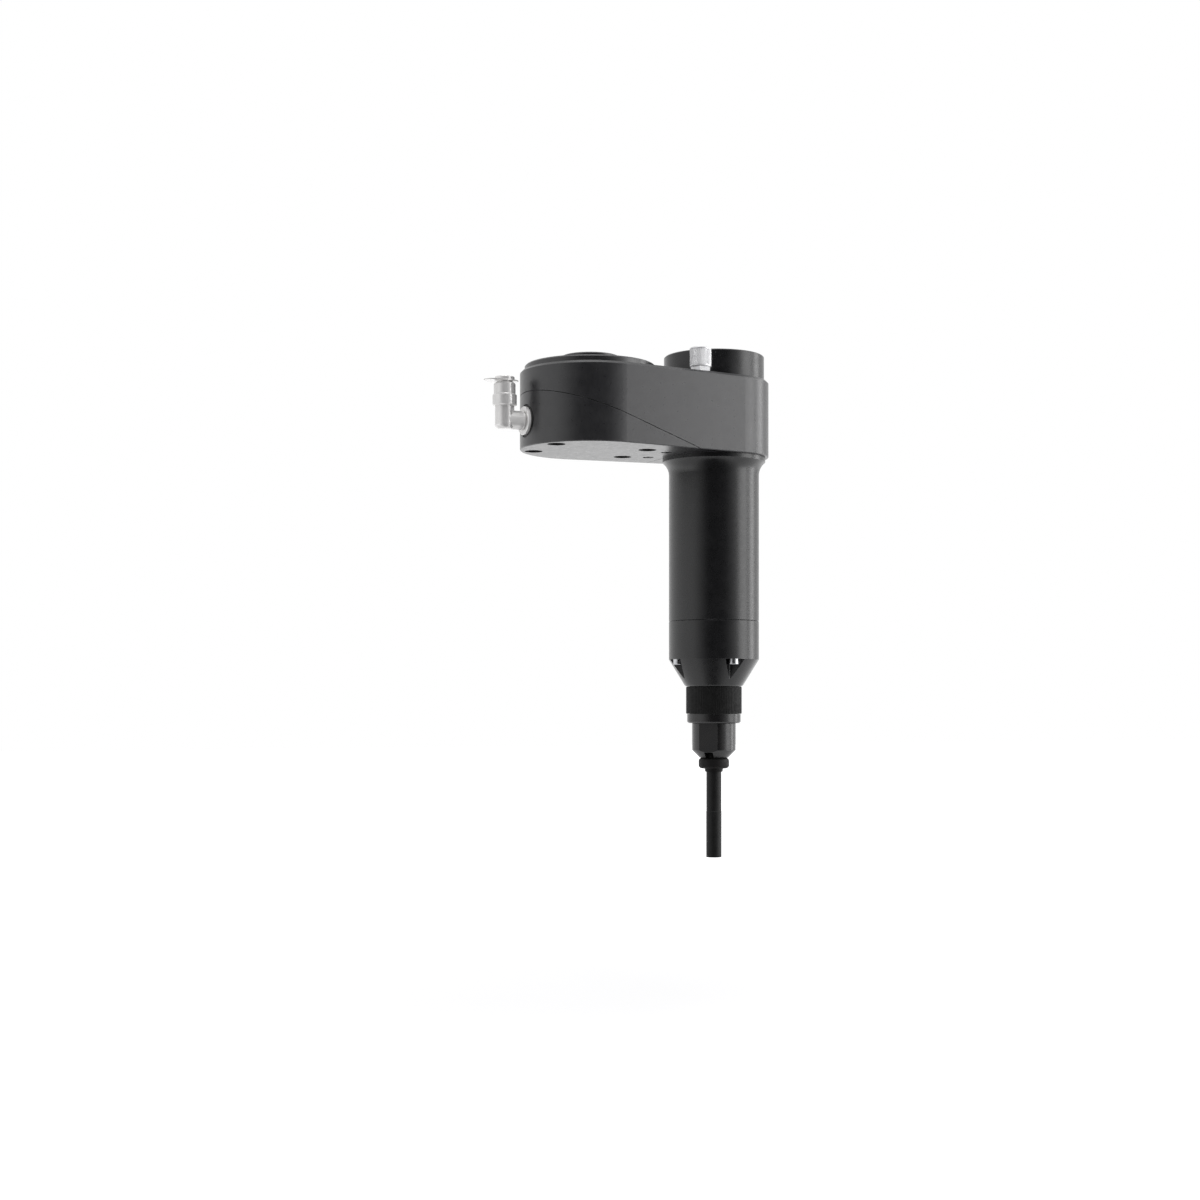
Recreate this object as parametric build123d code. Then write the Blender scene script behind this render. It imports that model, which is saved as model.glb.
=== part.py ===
from build123d import *
import math
import os

# Robot screwdriving spindle: an arm bolts under a robot's tool flange and carries an electric
# screwdriving spindle beside it, with a sprung vacuum sleeve round the bit.
# Millimetres. +Z points up to the robot, the origin is the centre of the face that meets the
# robot's flange, and +X runs along the arm to the spindle, which hangs down.

# Clearances
running_gap = 0.05
seat_gap = 0.05
screw_gap = 0.05
spring_end_gap = 0.05
edge_break = 0.25

# Robot coupling
adapter_rim_r = 35.0
adapter_rim_t = 3.2
adapter_chamfer = 0.7
register_r = 34.0
register_t = 7.3
spigot_r = 15.74
spigot_h = 5.0
spigot_chamfer = 0.6
spigot_roof = 3.0
spigot_wall = 3.7
robot_bolt_circle_r = 25.0
robot_bolt_count = 4
robot_bolt_hole_r = 3.3
robot_bolt_head_r = 5.5
robot_bolt_web = 4.0
dowel_r = 2.99
dowel_pressed_r = 2.5
dowel_chamfer = 0.5
dowel_proud = 5.0
dowel_sunk = 5.0
dowel_relief_r = 4.0
dowel_relief_deep = 0.5
dowel_angle = 135.0

# Arm
arm_length = 75.0
arm_h = 41.8
big_r = 37.5
small_r = 30.0
arm_top_chamfer = 1.3
arm_bottom_chamfer = 0.4
split_back_drop = 13.0
split_gap = 0.35
split_tip_land = 0.8
cavity_r = 26.0
cavity_plate = 3.0
cover_floor = 3.5
channel_w = 16.0
channel_h = 22.2
channel_drop = 10.8
gasket_inset = 0.8

# Long screws up through both halves of the arm into the coupling
arm_screw_r = 2.5
arm_screw_head_r = 4.25
arm_screw_head_h = 3.5
socket_share = 0.55
head_edge_share = 0.08
screw_tip_share = 0.25
arm_screw_length = 35.0
arm_screw_circle_r = 30.5
arm_screw_angles = (30.0, 150.0, 210.0, 330.0)
arm_counterbore_r = 4.8
arm_counterbore_deep = 5.2
tip_room = 1.0

# Button screws at the thin end of the cover
button_r = 1.5
button_head_r = 2.85
button_head_h = 1.65
button_length = 7.0
button_from_tip = 9.45
button_y = 11.0
button_recess = 1.9
button_crown = 1.0
button_socket_r = 1.1
button_socket_deep = 1.0
button_head_gap = 0.15

# Control board in the arm
boss_r = 2.75
boss_h = 6.5
boss_x = 14.0
boss_y = 10.5
board_length = 36.0
board_width = 28.0
board_t = 1.6
board_screw_r = 1.25
board_screw_head_r = 2.25
board_screw_head_h = 1.6
board_screw_length = 7.0
chip_size = 10.0
chip_t = 1.2
chip_x = -6.0
transistor_length = 6.0
transistor_width = 5.0
transistor_pitch = 7.0
transistor_h = 1.5
board_edge_room = 0.5
capacitor_r = 3.15
capacitor_h = 5.6
capacitor_x = -3.0
capacitor_y = 4.0
header_length = 6.0
header_width = 8.0
header_h = 4.0

# Air fitting at the back of the arm
port_rise = 13.5
port_thread_r = 4.75
spot_deep = 2.0
spot_r = 8.7
fitting_gasket_t = 1.5
fitting_gasket_r = 8.4
fitting_flange_r = 7.5
fitting_flange_t = 2.0
fitting_thread_length = 11.5
barb_r = 1.2
barb_length = 7.0
fitting_bore_r = 0.7
pivot_r = 3.0
pivot_length = 7.2
pivot_gap = 0.06
elbow_gap = 0.3
elbow_reach = 13.75
elbow_barrel_r = 5.0
elbow_foot_round = 2.5
elbow_leg_r = 5.05
elbow_collar_r = 6.35
elbow_head_r = 5.7
elbow_leg_h = 6.9
elbow_collar_h = 6.3
elbow_head_h = 5.8
elbow_edge = 0.6
fitting_edge = 0.4
air_tube_r = 3.1
air_tube_deep = 12.6
elbow_passage_r = 1.5
release_travel = 0.8
release_stop_gap = 0.05
release_room = 0.4
release_round = 0.5
release_sleeve_r = 4.2
release_sleeve_h = 4.4
release_flange_long = 19.0
release_flange_wide = 11.4
release_flange_out = 2.0
release_flange_t = 0.55
release_top_r = 5.2
release_top_h = 1.9

# Air hose and the drilled passage down the spindle tube
hose_r = 2.0
hose_end_gap = 0.5
hose_run_out = 20.0
hose_run_in = 24.0
nipple_r = 1.2
nipple_flange_r = 2.2
nipple_flange_t = 1.0
nipple_proud = 7.5
nipple_drop = 30.6
nipple_y = 4.8
passage_r = 0.9
passage_ring_r = 23.1
passage_below_seam = 15.0

# Cables inside the arm
motor_cable_r = 1.4
power_cable_r = 1.5
cable_passage_r = 2.6
cable_bend = 5.0
connector_bend = 4.0
cable_above_slot = 1.0
motor_run_out = 13.0
motor_run_in = 3.0
bend_share = 0.45
least_turn = 0.5
power_run_in = 11.0
power_turn_drop = 5.0
power_exit_back = 11.0
power_exit_y = -6.0

# Connector on top of the arm
connector_cap_gap = 0.89
connector_angle = 229.5
connector_hex = 10.0
connector_hex_h = 2.3
connector_shell_r = 4.7
connector_socket_r = 4.05
connector_stem_r = 4.5
connector_stem_h = 6.3
connector_insert_r = 3.8
connector_insert_room = 0.5
connector_thread_edge = 0.25
connector_thread_h = 10.2
connector_insert_drop = 5.3
connector_ring_r = 5.8
connector_ring_h = 10.5
connector_ring_lift = 0.1
connector_ribs = 48
connector_rib_r = 0.22
pin_hole_r = 0.45
pin_hole_deep = 5.0
pin_circle_r = 2.6
pin_count = 7

# Spindle tube
tube_r = 24.75
tube_wall = 3.25
tube_below_arm = 89.8
tube_top_gap = 0.5
tube_end_t = 7.8
tube_end_bore_r = 19.5
lip_r = 28.2
lip_t = 2.4
flare_h = 7.1
slot_w = 12.0
slot_h = 17.0

# Top cap
cap_r = 27.5
cap_h = 13.7
cap_roof = 3.0
cap_hollow_r = 20.0
cap_chamfer = 0.5
cap_screw_r = 1.25
cap_screw_head_r = 2.25
cap_screw_head_h = 2.5
cap_screw_length = 16.0
cap_screw_circle_r = 23.1
cap_screw_count = 4
cap_screw_angle = 45.0
cap_counterbore_r = 2.45
cap_counterbore_deep = 2.7

# Stack inside the tube, from its floor upwards
bearing_carrier_h = 14.5
carrier_barrel_r = 19.4
barrel_below_seam = 2.0
ring_gear_h = 16.5
plate_h = 6.0
plate_rim_h = 4.0
plate_rim_t = 2.25
stator_h = 38.0
clamp_ring_h = 4.0
clamp_ring_t = 4.5

# Motor
tooth_count = 9
stator_yoke_t = 3.5
stator_bore_r = 12.3
tooth_w = 4.0
tooth_foot_w = 6.4
tooth_foot_t = 1.2
coil_w = 7.4
coil_overhang = 3.1
coil_inner_r = 13.7
coil_gap = 0.15
coil_round = 1.5
rotor_r = 11.6
magnet_t = 2.4
magnet_count = 6
magnet_gap_angle = 6.0
rotor_end_room = 2.0
rotor_shaft_r = 3.0
rotor_shaft_proud = 2.5
rotor_collar_r = 4.2
shaft_edge = 0.3
encoder_magnet_r = 3.0
encoder_magnet_t = 2.5
encoder_post_h = 6.5
encoder_post_r = 1.75
encoder_post_circle_r = 12.5
encoder_post_count = 3
encoder_post_angle = 60.0
encoder_board_r = 15.5
encoder_header_length = 6.0
encoder_header_h = 3.0
encoder_header_back = 11.0
encoder_header_y = -2.5

# Rotor bearings, 6 x 15 x 5
rotor_bearing_r = 7.5
rotor_bearing_t = 5.0
rotor_ball_r = 1.4
rotor_ball_count = 7
rotor_bearing_lip_r = 6.3
race_share = 0.6

# Planetary gears
gear_module = 1.0
pressure_angle = 25.0
sun_teeth = 12
planet_teeth = 12
planet_count = 3
gear_addendum = 0.8
gear_dedendum = 1.1
gear_backlash = 0.18
flank_steps = 4
planet_h = 9.3
planet_lift = 1.7
sun_h = 10.0
planet_pin_r = 2.0
planet_washer_wide = 1.0
planet_washer_gap = 0.2
sun_low_room = 0.3
gear_floor_gap = 0.5

# Output spindle and its bearings, 10 x 22 x 6
upper_bearing_sunk = 2.5
disc_lift = 0.5
disc_t = 2.5
disc_r = 17.0
spindle_r = 5.0
spindle_bearing_r = 11.0
spindle_bearing_t = 6.0
spindle_ball_r = 1.75
spindle_ball_count = 9
spindle_bearing_lip_r = 9.3
spindle_shoulder_r = 6.5
seal_r = 9.0
seal_t = 3.8
seal_deep = 4.5
barrel_end_room = 0.2
throat_r = 6.5
throat_h = 2.5
spindle_flange_r = 8.0
spindle_flange_t = 2.5
spindle_flange_room = 1.0
stub_r = 3.45
stub_length = 7.0

# Bit chuck and bit
chuck_r = 6.5
chuck_length = 29.0
chuck_foot_r = 8.3
chuck_foot_t = 2.5
chuck_foot_edge = 0.5
hex_size = 6.3
hex_gap = 0.05
hex_in_chuck = 20.3
hex_end_room = 0.2
hex_end_edge = 0.5
hex_below_chuck = 6.0
bit_neck_r = 2.2
bit_tip_core_r = 1.35
bit_tip_lobe_r = 0.45
bit_tip_lobes = 6
bit_tip_length = 11.0
chuck_sleeve_r = 9.5
chuck_sleeve_h = 12.2
chuck_sleeve_lift = 0.3
chuck_groove_deep = 0.6
chuck_groove_half = 0.6
chuck_groove_pitch = 2.4
chuck_sleeve_edge = 0.6
chuck_spring_r = 7.6
chuck_spring_wire_r = 0.45
chuck_spring_turns = 6

# Lower ring and cone
ring_h = 21.0
cone_h = 14.7
cone_lip_r = 16.2
cone_lip_edge = 0.7
nose_screw_r = 1.5
nose_screw_head_r = 2.75
nose_screw_head_h = 3.0
nose_screw_length = 25.0
nose_screw_circle_r = 22.0
nose_screw_count = 4
pocket_wall_gap = 0.15
pocket_corner_r = 0.8
chamber_r = 12.0

# Quick-change nose
collar_r = 15.3
collar_h = 15.3
collar_end_gap = 0.15
collar_ribs = 90
collar_rib_r = 0.26
knurl_sunk_share = 0.35
knurl_end_in = 0.4
knurl_end_out = 0.1
knurl_end_h = 0.5
shank_r = 13.6
shank_in_cone = 10.2
nose_lip_r = 14.7
nose_lip_h = 4.9
nose_lip_chamfer = 0.7
web_t = 1.5
web_below_cone = 6.5
web_hole_r = 4.5
bayonet_pin_r = 1.2
bayonet_proud = 1.0
bayonet_inset = 0.4
bayonet_rise = 7.0
bayonet_count = 3
bayonet_angle = 45.0
bayonet_gap = 0.15
nose_r = 12.0
nose_h = 14.9
nose_tip_r = 7.8
nose_tip_h = 4.2
nose_thread_r = 11.0
nose_thread_end_gap = 0.5
nose_bore_r = 9.2
nose_floor_t = 6.6
nose_flats = 21.6
nose_flat_angle = 45.0
nose_slot_w = 5.0
nose_slot_deep = 3.0

# Vacuum sleeve and the grip that it slides through
sleeve_r = 4.15
sleeve_gap = 0.06
sleeve_tip_r = 4.25
sleeve_upper_h = 21.7
sleeve_tip_h = 25.4
sleeve_bore_r = 2.7
sleeve_flange_r = 8.8
sleeve_flange_t = 1.5
sleeve_rest_gap = 0.2
screw_seat_r = 3.3
screw_seat_deep = 3.0
bit_above_seat = 0.4
grip_r = 8.4
grip_h = 5.9
grip_round = 1.9
grip_neck_h = 1.8
grip_neck_top_r = 5.1
grip_neck_r = 4.8
grip_spigot_r = 5.5
grip_spigot_h = 2.0
grip_gap = 0.1
grip_root = 0.5
sleeve_tip_edge = 0.12
sleeve_spring_r = 8.1
sleeve_spring_wire_r = 0.5
sleeve_spring_turns = 7

# Heights worked out from the sizes above
arm_top = -adapter_rim_t
arm_bottom = arm_top - arm_h
recess_floor = arm_top - register_t
cavity_roof = recess_floor - cavity_plate
channel_top = arm_top - channel_drop
channel_bottom = channel_top - channel_h
split_back_z = arm_top - split_back_drop
split_end_x = arm_length - tube_r
split_slope = (split_back_z - arm_bottom) / (split_end_x + big_r)
split_tip_x = split_end_x - split_tip_land
button_x = split_tip_x - button_from_tip
board_top = cavity_roof - boss_h
board_bottom = board_top - board_t
port_z = arm_bottom + port_rise
spot_x = -(big_r - spot_deep)
fitting_face_x = spot_x - fitting_gasket_t - fitting_flange_t
leg_x = spot_x - elbow_reach
nipple_z = arm_top - nipple_drop
tube_bore_r = tube_r - tube_wall
tube_top = arm_top - tube_top_gap
slot_bottom = channel_top - slot_h
seam_z = arm_bottom - tube_below_arm
floor_z = seam_z + tube_end_t
stack_r = tube_bore_r - seat_gap
bearing_carrier_top = floor_z + bearing_carrier_h
ring_gear_top = bearing_carrier_top + ring_gear_h
lower_plate_top = ring_gear_top + plate_h
stator_bottom = lower_plate_top + plate_rim_h
stator_top = stator_bottom + stator_h
upper_plate_bottom = stator_top + plate_rim_h
upper_plate_top = upper_plate_bottom + plate_h
encoder_board_bottom = upper_plate_top + encoder_post_h
lower_rotor_bearing_z = lower_plate_top - rotor_bearing_t
upper_rotor_bearing_z = upper_plate_bottom
rotor_shaft_top = upper_plate_top + rotor_shaft_proud
disc_bottom = bearing_carrier_top + disc_lift
disc_top = disc_bottom + disc_t
planet_bottom = disc_top + planet_lift
upper_spindle_bearing_z = bearing_carrier_top - upper_bearing_sunk - spindle_bearing_t
lower_spindle_bearing_z = seam_z - barrel_below_seam
ring_bottom = seam_z - ring_h
cone_bottom = ring_bottom - cone_h
recess_z = seam_z - barrel_below_seam - barrel_end_room
throat_top = recess_z - seal_deep
chamber_top = throat_top - throat_h
spindle_flange_top = chamber_top - spindle_flange_room
chuck_top = spindle_flange_top - spindle_flange_t
chuck_bottom = chuck_top - chuck_length
collar_bottom = cone_bottom - collar_h
nose_lip_bottom = collar_bottom - nose_lip_h
nose_body_bottom = nose_lip_bottom - nose_h
nose_bottom = nose_body_bottom - nose_tip_h
shank_top = cone_bottom + shank_in_cone
web_top = cone_bottom - web_below_cone
web_bottom = web_top - web_t
nose_floor_z = nose_bottom + nose_floor_t
grip_bottom = nose_bottom - grip_h
grip_tip = grip_bottom - grip_neck_h
sleeve_step = grip_tip - sleeve_upper_h
sleeve_bottom = sleeve_step - sleeve_tip_h
sleeve_flange_bottom = nose_floor_z + sleeve_rest_gap
sleeve_top = sleeve_flange_bottom + sleeve_flange_t
bit_bottom = sleeve_bottom + screw_seat_deep + bit_above_seat
chuck_sleeve_top = chuck_top - chuck_sleeve_lift
chuck_sleeve_bottom = chuck_sleeve_top - chuck_sleeve_h
ring_teeth = sun_teeth + 2 * planet_teeth
planet_orbit_r = gear_module * (sun_teeth + planet_teeth) / 2

# The connector stands just clear of the top cap, at an angle round it
connector_circle_r = cap_r + connector_ring_r + connector_cap_gap
connector_x = arm_length + connector_circle_r * math.cos(math.radians(connector_angle))
connector_y = connector_circle_r * math.sin(math.radians(connector_angle))

# The spindle is modelled about its own axis and then set down at the end of the arm
spindle_place = Pos(arm_length, 0, 0)
connector_place = Pos(connector_x, connector_y, 0)


def rod(radius, low, high, x=0.0, y=0.0):
    # Upright cylinder between two heights
    bottom_up = (Align.CENTER, Align.CENTER, Align.MIN)
    return Pos(x, y, low) * Cylinder(radius, high - low, align=bottom_up)


def tube(outer_r, inner_r, low, high, x=0.0, y=0.0):
    return rod(outer_r, low, high, x, y) - rod(inner_r, low, high, x, y)


def side_rod(radius, x_low, x_high, z, y=0.0):
    # Cylinder lying along X
    end_up = (Align.CENTER, Align.CENTER, Align.MIN)
    return Pos(x_low, y, z) * Rot(0, 90, 0) * Cylinder(radius, x_high - x_low, align=end_up)


def block(length, width, low, high, x=0.0, y=0.0):
    on_base = (Align.CENTER, Align.CENTER, Align.MIN)
    return Pos(x, y, low) * Box(length, width, high - low, align=on_base)


def turned(*points):
    # Solid of revolution from its outline, given as (radius, height) corners
    outline = Polyline(*[(r, 0, z) for r, z in points], close=True)
    return revolve(make_face(outline), Axis.Z)


def around(circle_r, count, start=0.0):
    # Places evenly spaced on a circle, each turned to face outwards
    places = []
    for i in range(count):
        angle = start + 360.0 * i / count
        places.append(Rot(0, 0, angle) * Pos(circle_r, 0, 0))
    return places


def top_edges(solid):
    return solid.faces().sort_by(Axis.Z)[-1].edges()


def bottom_edges(solid):
    return solid.faces().sort_by(Axis.Z)[0].edges()


def socket_screw(shank_r, length, head_r, head_h):
    # Cap screw with a hexagon socket, its head above z = 0 and its shank below
    socket_deep = head_h * socket_share
    head = chamfer(top_edges(rod(head_r, 0, head_h)), head_h * head_edge_share)
    shank = chamfer(bottom_edges(rod(shank_r, -length, 0)), shank_r * screw_tip_share)
    socket = extrude(RegularPolygon(shank_r, 6), amount=socket_deep)
    return head + shank - Pos(0, 0, head_h - socket_deep) * socket


def ribbed_face(radius, rib_count, rib_r):
    # Round face with fine grooves all the way round
    face = Circle(radius)
    groove_circle_r = radius + rib_r * knurl_sunk_share
    return face - [place * Circle(rib_r) for place in around(groove_circle_r, rib_count)]


def ribbed_ring(outer_r, inner_r, rib_count, rib_r, low, high):
    # Ring with a straight knurl whose two ends are broken
    body = Pos(0, 0, low) * extrude(ribbed_face(outer_r, rib_count, rib_r), amount=high - low)
    edge = turned(
        (inner_r, low),
        (outer_r - knurl_end_in, low),
        (outer_r + knurl_end_out, low + knurl_end_h),
        (outer_r + knurl_end_out, high - knurl_end_h),
        (outer_r - knurl_end_in, high),
        (inner_r, high),
    )
    return (body & edge) - rod(inner_r + running_gap, low, high)


def coil_spring(coil_r, wire_r, turns, low, high):
    # Open coil whose wire stays just between two heights
    end_room = wire_r + spring_end_gap
    rise = high - low - 2 * end_room
    path = Pos(0, 0, low + end_room) * Helix(rise / turns, rise, coil_r)
    start = path @ 0
    section = Plane(origin=start, z_dir=path % 0) * Circle(wire_r)
    return sweep(section, path=path, is_frenet=True)


def hose(route, bends, radius, bore_r=0.0):
    # Round hose along straight runs joined by arcs
    path = FilletPolyline(*route, radius=bends)
    ends = Plane(origin=path @ 0, z_dir=path % 0)
    outer = sweep(ends * Circle(radius), path=path)
    if bore_r > 0:
        outer = outer - sweep(ends * Circle(bore_r), path=path)
    return outer


def corner(before, here, after):
    # The shorter of a corner's two runs and its turn in degrees
    run_in = Vector(*here) - Vector(*before)
    run_out = Vector(*after) - Vector(*here)
    return min(run_in.length, run_out.length), run_in.get_angle(run_out)


def bent_route(points):
    # The route without the points that it runs straight through
    inner = zip(points, points[1:], points[2:])
    turning = [here for before, here, after in inner if corner(before, here, after)[1] > least_turn]
    return [points[0]] + turning + [points[-1]]


def soft_bends(route):
    # The largest arc that each corner's two runs leave room for
    corners = [corner(*three) for three in zip(route, route[1:], route[2:])]
    return [bend_share * run / math.tan(math.radians(turn) / 2) for run, turn in corners]


def teardrop(inset=0.0):
    # The arm seen from above: two round ends joined by their tangents
    big = big_r - inset
    small = small_r - inset
    lean = math.acos((big_r - small_r) / arm_length)
    across = math.cos(lean)
    out = math.sin(lean)
    big_left = (big * across, big * out)
    big_right = (big * across, -big * out)
    small_left = (arm_length + small * across, small * out)
    small_right = (arm_length + small * across, -small * out)
    outline = [
        Line(big_left, small_left),
        ThreePointArc(small_left, (arm_length + small, 0), small_right),
        Line(small_right, big_right),
        ThreePointArc(big_right, (-big, 0), big_left),
    ]
    return make_face(outline)


def arm_block():
    body = Pos(0, 0, arm_bottom) * extrude(teardrop(), amount=arm_h)
    body = chamfer(top_edges(body), arm_top_chamfer)
    return chamfer(bottom_edges(body), arm_bottom_chamfer)


def split_height(x):
    return split_back_z - split_slope * (x + big_r)


def slab_in_xz(*points):
    # Wide slab whose side view is given as (x, z) corners
    side = make_face(Polyline(*[(x, 0, z) for x, z in points], close=True))
    return extrude(side, amount=2 * big_r, both=True)


def below_split(gap=0.0):
    # Everything under the slanting joint between the arm's two halves
    drop = gap * math.sqrt(1 + split_slope**2)
    left = -2 * big_r
    right = split_tip_x - gap
    deep = arm_bottom - big_r
    return slab_in_xz(
        (left, split_height(left) - drop),
        (right, split_height(right) - drop),
        (right, deep),
        (left, deep),
    )


def arm_screw_places():
    return [Rot(0, 0, angle) * Pos(arm_screw_circle_r, 0, 0) for angle in arm_screw_angles]


def button_places():
    return [Pos(button_x, side * button_y, 0) for side in (1, -1)]


def boss_places():
    return [Pos(i * boss_x, j * boss_y, 0) for i in (-1, 1) for j in (-1, 1)]


arm_screw_head_z = arm_bottom + arm_counterbore_deep
arm_screw_tip = arm_screw_head_z + arm_screw_length
button_head_z = arm_bottom + button_recess


def robot_adapter():
    rim = chamfer(top_edges(rod(adapter_rim_r, arm_top, 0)), adapter_chamfer)
    spigot = chamfer(top_edges(rod(spigot_r, 0, spigot_h)), spigot_chamfer)
    body = rim + rod(register_r, recess_floor, arm_top) + spigot
    body -= rod(spigot_r - spigot_wall, recess_floor, spigot_h - spigot_roof)
    for place in around(robot_bolt_circle_r, robot_bolt_count):
        body -= place * rod(robot_bolt_hole_r, recess_floor, 0)
        body -= place * rod(robot_bolt_head_r, recess_floor, -robot_bolt_web)
    for place in arm_screw_places():
        body -= place * rod(arm_screw_r + screw_gap, recess_floor, arm_screw_tip + tip_room)
    dowel_place = Rot(0, 0, dowel_angle) * Pos(robot_bolt_circle_r, 0, 0)
    body -= dowel_place * rod(dowel_relief_r, -dowel_relief_deep, 0)
    return body - dowel_place * rod(dowel_pressed_r, -dowel_sunk, 0)


def locating_dowel():
    # Stepped pin: the thin half is pressed in until the step is level with the adapter's face
    pin = chamfer(top_edges(rod(dowel_r, 0, dowel_proud)), dowel_chamfer)
    pin += rod(dowel_pressed_r, -dowel_sunk, 0)
    return Rot(0, 0, dowel_angle) * Pos(robot_bolt_circle_r, 0, 0) * pin


def upper_housing():
    body = arm_block() - below_split()
    body -= rod(register_r + seat_gap, recess_floor, arm_top)
    body -= rod(cavity_r, arm_bottom, cavity_roof)
    body -= block(arm_length, channel_w, channel_bottom, channel_top, arm_length / 2)
    body -= rod(tube_r + seat_gap, arm_bottom, arm_top, arm_length)
    for place in arm_screw_places():
        body -= place * rod(arm_screw_r + screw_gap, arm_bottom, arm_top)
    button_tip = button_head_z + button_length + tip_room
    for place in button_places():
        body -= place * rod(button_r + screw_gap, arm_bottom, button_tip)
    for place in boss_places():
        body += place * rod(boss_r, board_top, cavity_roof)
        screw_top = board_bottom + board_screw_length + tip_room
        body -= place * rod(board_screw_r + screw_gap, board_top, screw_top)
    body -= connector_place * rod(connector_stem_r + seat_gap, power_turn_z, arm_top)
    body -= cable_passage()
    return body


def lower_cover():
    body = arm_block() & below_split(split_gap)
    body -= rod(cavity_r, arm_bottom + cover_floor, arm_top)
    for place in arm_screw_places():
        body -= place * rod(arm_screw_r + screw_gap, arm_bottom, arm_top)
        body -= place * rod(arm_counterbore_r, arm_bottom, arm_screw_head_z)
    for place in button_places():
        body -= place * rod(button_r + screw_gap, arm_bottom, arm_top)
        body -= place * rod(button_head_r + button_head_gap, arm_bottom, button_head_z)
    body -= side_rod(port_thread_r + screw_gap, -big_r, 0, port_z)
    body -= side_rod(spot_r, -big_r - spot_r, spot_x, port_z)
    return body


def cover_gasket():
    drop = split_gap * math.sqrt(1 + split_slope**2)
    left = -2 * big_r
    right = split_tip_x - 4 * gasket_inset
    layer = slab_in_xz(
        (left, split_height(left)),
        (right, split_height(right)),
        (right, split_height(right) - drop),
        (left, split_height(left) - drop),
    )
    outline = Pos(0, 0, arm_bottom) * extrude(teardrop(gasket_inset), amount=arm_h)
    body = layer & outline
    body -= rod(cavity_r, arm_bottom, arm_top)
    for place in arm_screw_places():
        body -= place * rod(arm_screw_r + screw_gap, arm_bottom, arm_top)
    for place in button_places():
        body -= place * rod(button_r + screw_gap, arm_bottom, arm_top)
    return body


def housing_screws():
    screw = socket_screw(arm_screw_r, arm_screw_length, arm_screw_head_r, arm_screw_head_h)
    upwards = Pos(0, 0, arm_screw_head_z) * Rot(180, 0, 0) * screw
    return [place * upwards for place in arm_screw_places()]


def cover_screws():
    head = fillet(top_edges(rod(button_head_r, 0, button_head_h)), button_crown)
    socket = extrude(RegularPolygon(button_socket_r, 6), amount=button_socket_deep)
    screw = head + rod(button_r, -button_length, 0)
    screw -= Pos(0, 0, button_head_h - button_socket_deep) * socket
    upwards = Pos(0, 0, button_head_z) * Rot(180, 0, 0) * screw
    return [place * upwards for place in button_places()]


def control_board():
    body = block(board_length, board_width, board_bottom, board_top)
    for place in boss_places():
        body -= place * rod(board_screw_r + screw_gap, board_bottom, board_top)
    return body


def board_screws():
    head = rod(board_screw_head_r, 0, board_screw_head_h)
    screw = head + rod(board_screw_r, -board_screw_length, 0)
    upwards = Pos(0, 0, board_bottom) * Rot(180, 0, 0) * screw
    return [place * upwards for place in boss_places()]


power_header_x = board_length / 2 - header_length / 2
power_header_y = -3.5


def board_components():
    chip = block(chip_size, chip_size, board_bottom - chip_t, board_bottom, chip_x)
    parts = [chip]
    for i in range(3):
        x = -transistor_pitch + i * transistor_pitch
        for j in (-1, 1):
            y = j * (board_width / 2 - transistor_width / 2 - board_edge_room)
            high = board_top + transistor_h
            parts.append(block(transistor_length, transistor_width, board_top, high, x, y))
    for j in (-1, 1):
        high = board_top + capacitor_h
        parts.append(rod(capacitor_r, board_top, high, capacitor_x, j * capacitor_y))
    top_header = block(header_length, header_width, board_top, board_top + header_h,
                       power_header_x, power_header_y)
    low_header = block(header_length, header_width, board_bottom - header_h, board_bottom,
                       power_header_x, power_header_y)
    return parts + [top_header, low_header]


def fitting_stem():
    body = side_rod(fitting_flange_r, fitting_face_x, fitting_face_x + fitting_flange_t, port_z)
    body = chamfer(body.edges(), fitting_edge)
    thread_end = spot_x + fitting_thread_length
    body += side_rod(port_thread_r, fitting_face_x + fitting_flange_t, thread_end, port_z)
    body += side_rod(barb_r, thread_end, thread_end + barb_length, port_z)
    body += side_rod(pivot_r, fitting_face_x - pivot_length, fitting_face_x, port_z)
    return body - side_rod(fitting_bore_r, fitting_face_x - pivot_length,
                           thread_end + barb_length, port_z)


def fitting_gasket():
    body = side_rod(fitting_gasket_r, spot_x - fitting_gasket_t, spot_x, port_z)
    return body - side_rod(port_thread_r + screw_gap, spot_x - fitting_gasket_t, spot_x, port_z)


elbow_collar_z = port_z + elbow_leg_h
elbow_head_z = elbow_collar_z + elbow_collar_h
elbow_top = elbow_head_z + elbow_head_h
tube_stop_z = elbow_top - air_tube_deep
release_bottom = elbow_top - release_sleeve_h


def elbow_body():
    barrel = side_rod(elbow_barrel_r, leg_x, fitting_face_x - elbow_gap, port_z)
    leg = rod(elbow_leg_r, port_z - elbow_leg_r, elbow_collar_z, leg_x)
    leg = fillet(bottom_edges(leg), elbow_foot_round)
    collar = chamfer(rod(elbow_collar_r, elbow_collar_z, elbow_head_z, leg_x).edges(), elbow_edge)
    head = chamfer(top_edges(rod(elbow_head_r, elbow_head_z, elbow_top, leg_x)), elbow_edge)
    body = barrel + leg + collar + head
    body -= rod(air_tube_r, tube_stop_z, elbow_top, leg_x)
    sleeve_floor = release_bottom - release_travel - release_room
    body -= rod(release_sleeve_r + running_gap, sleeve_floor, elbow_top, leg_x)
    body -= rod(elbow_passage_r, port_z, tube_stop_z, leg_x)
    pivot_end = fitting_face_x - pivot_length - elbow_gap
    body -= side_rod(pivot_r + pivot_gap, pivot_end, fitting_face_x, port_z)
    return body - side_rod(elbow_passage_r, leg_x, pivot_end, port_z)


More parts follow.
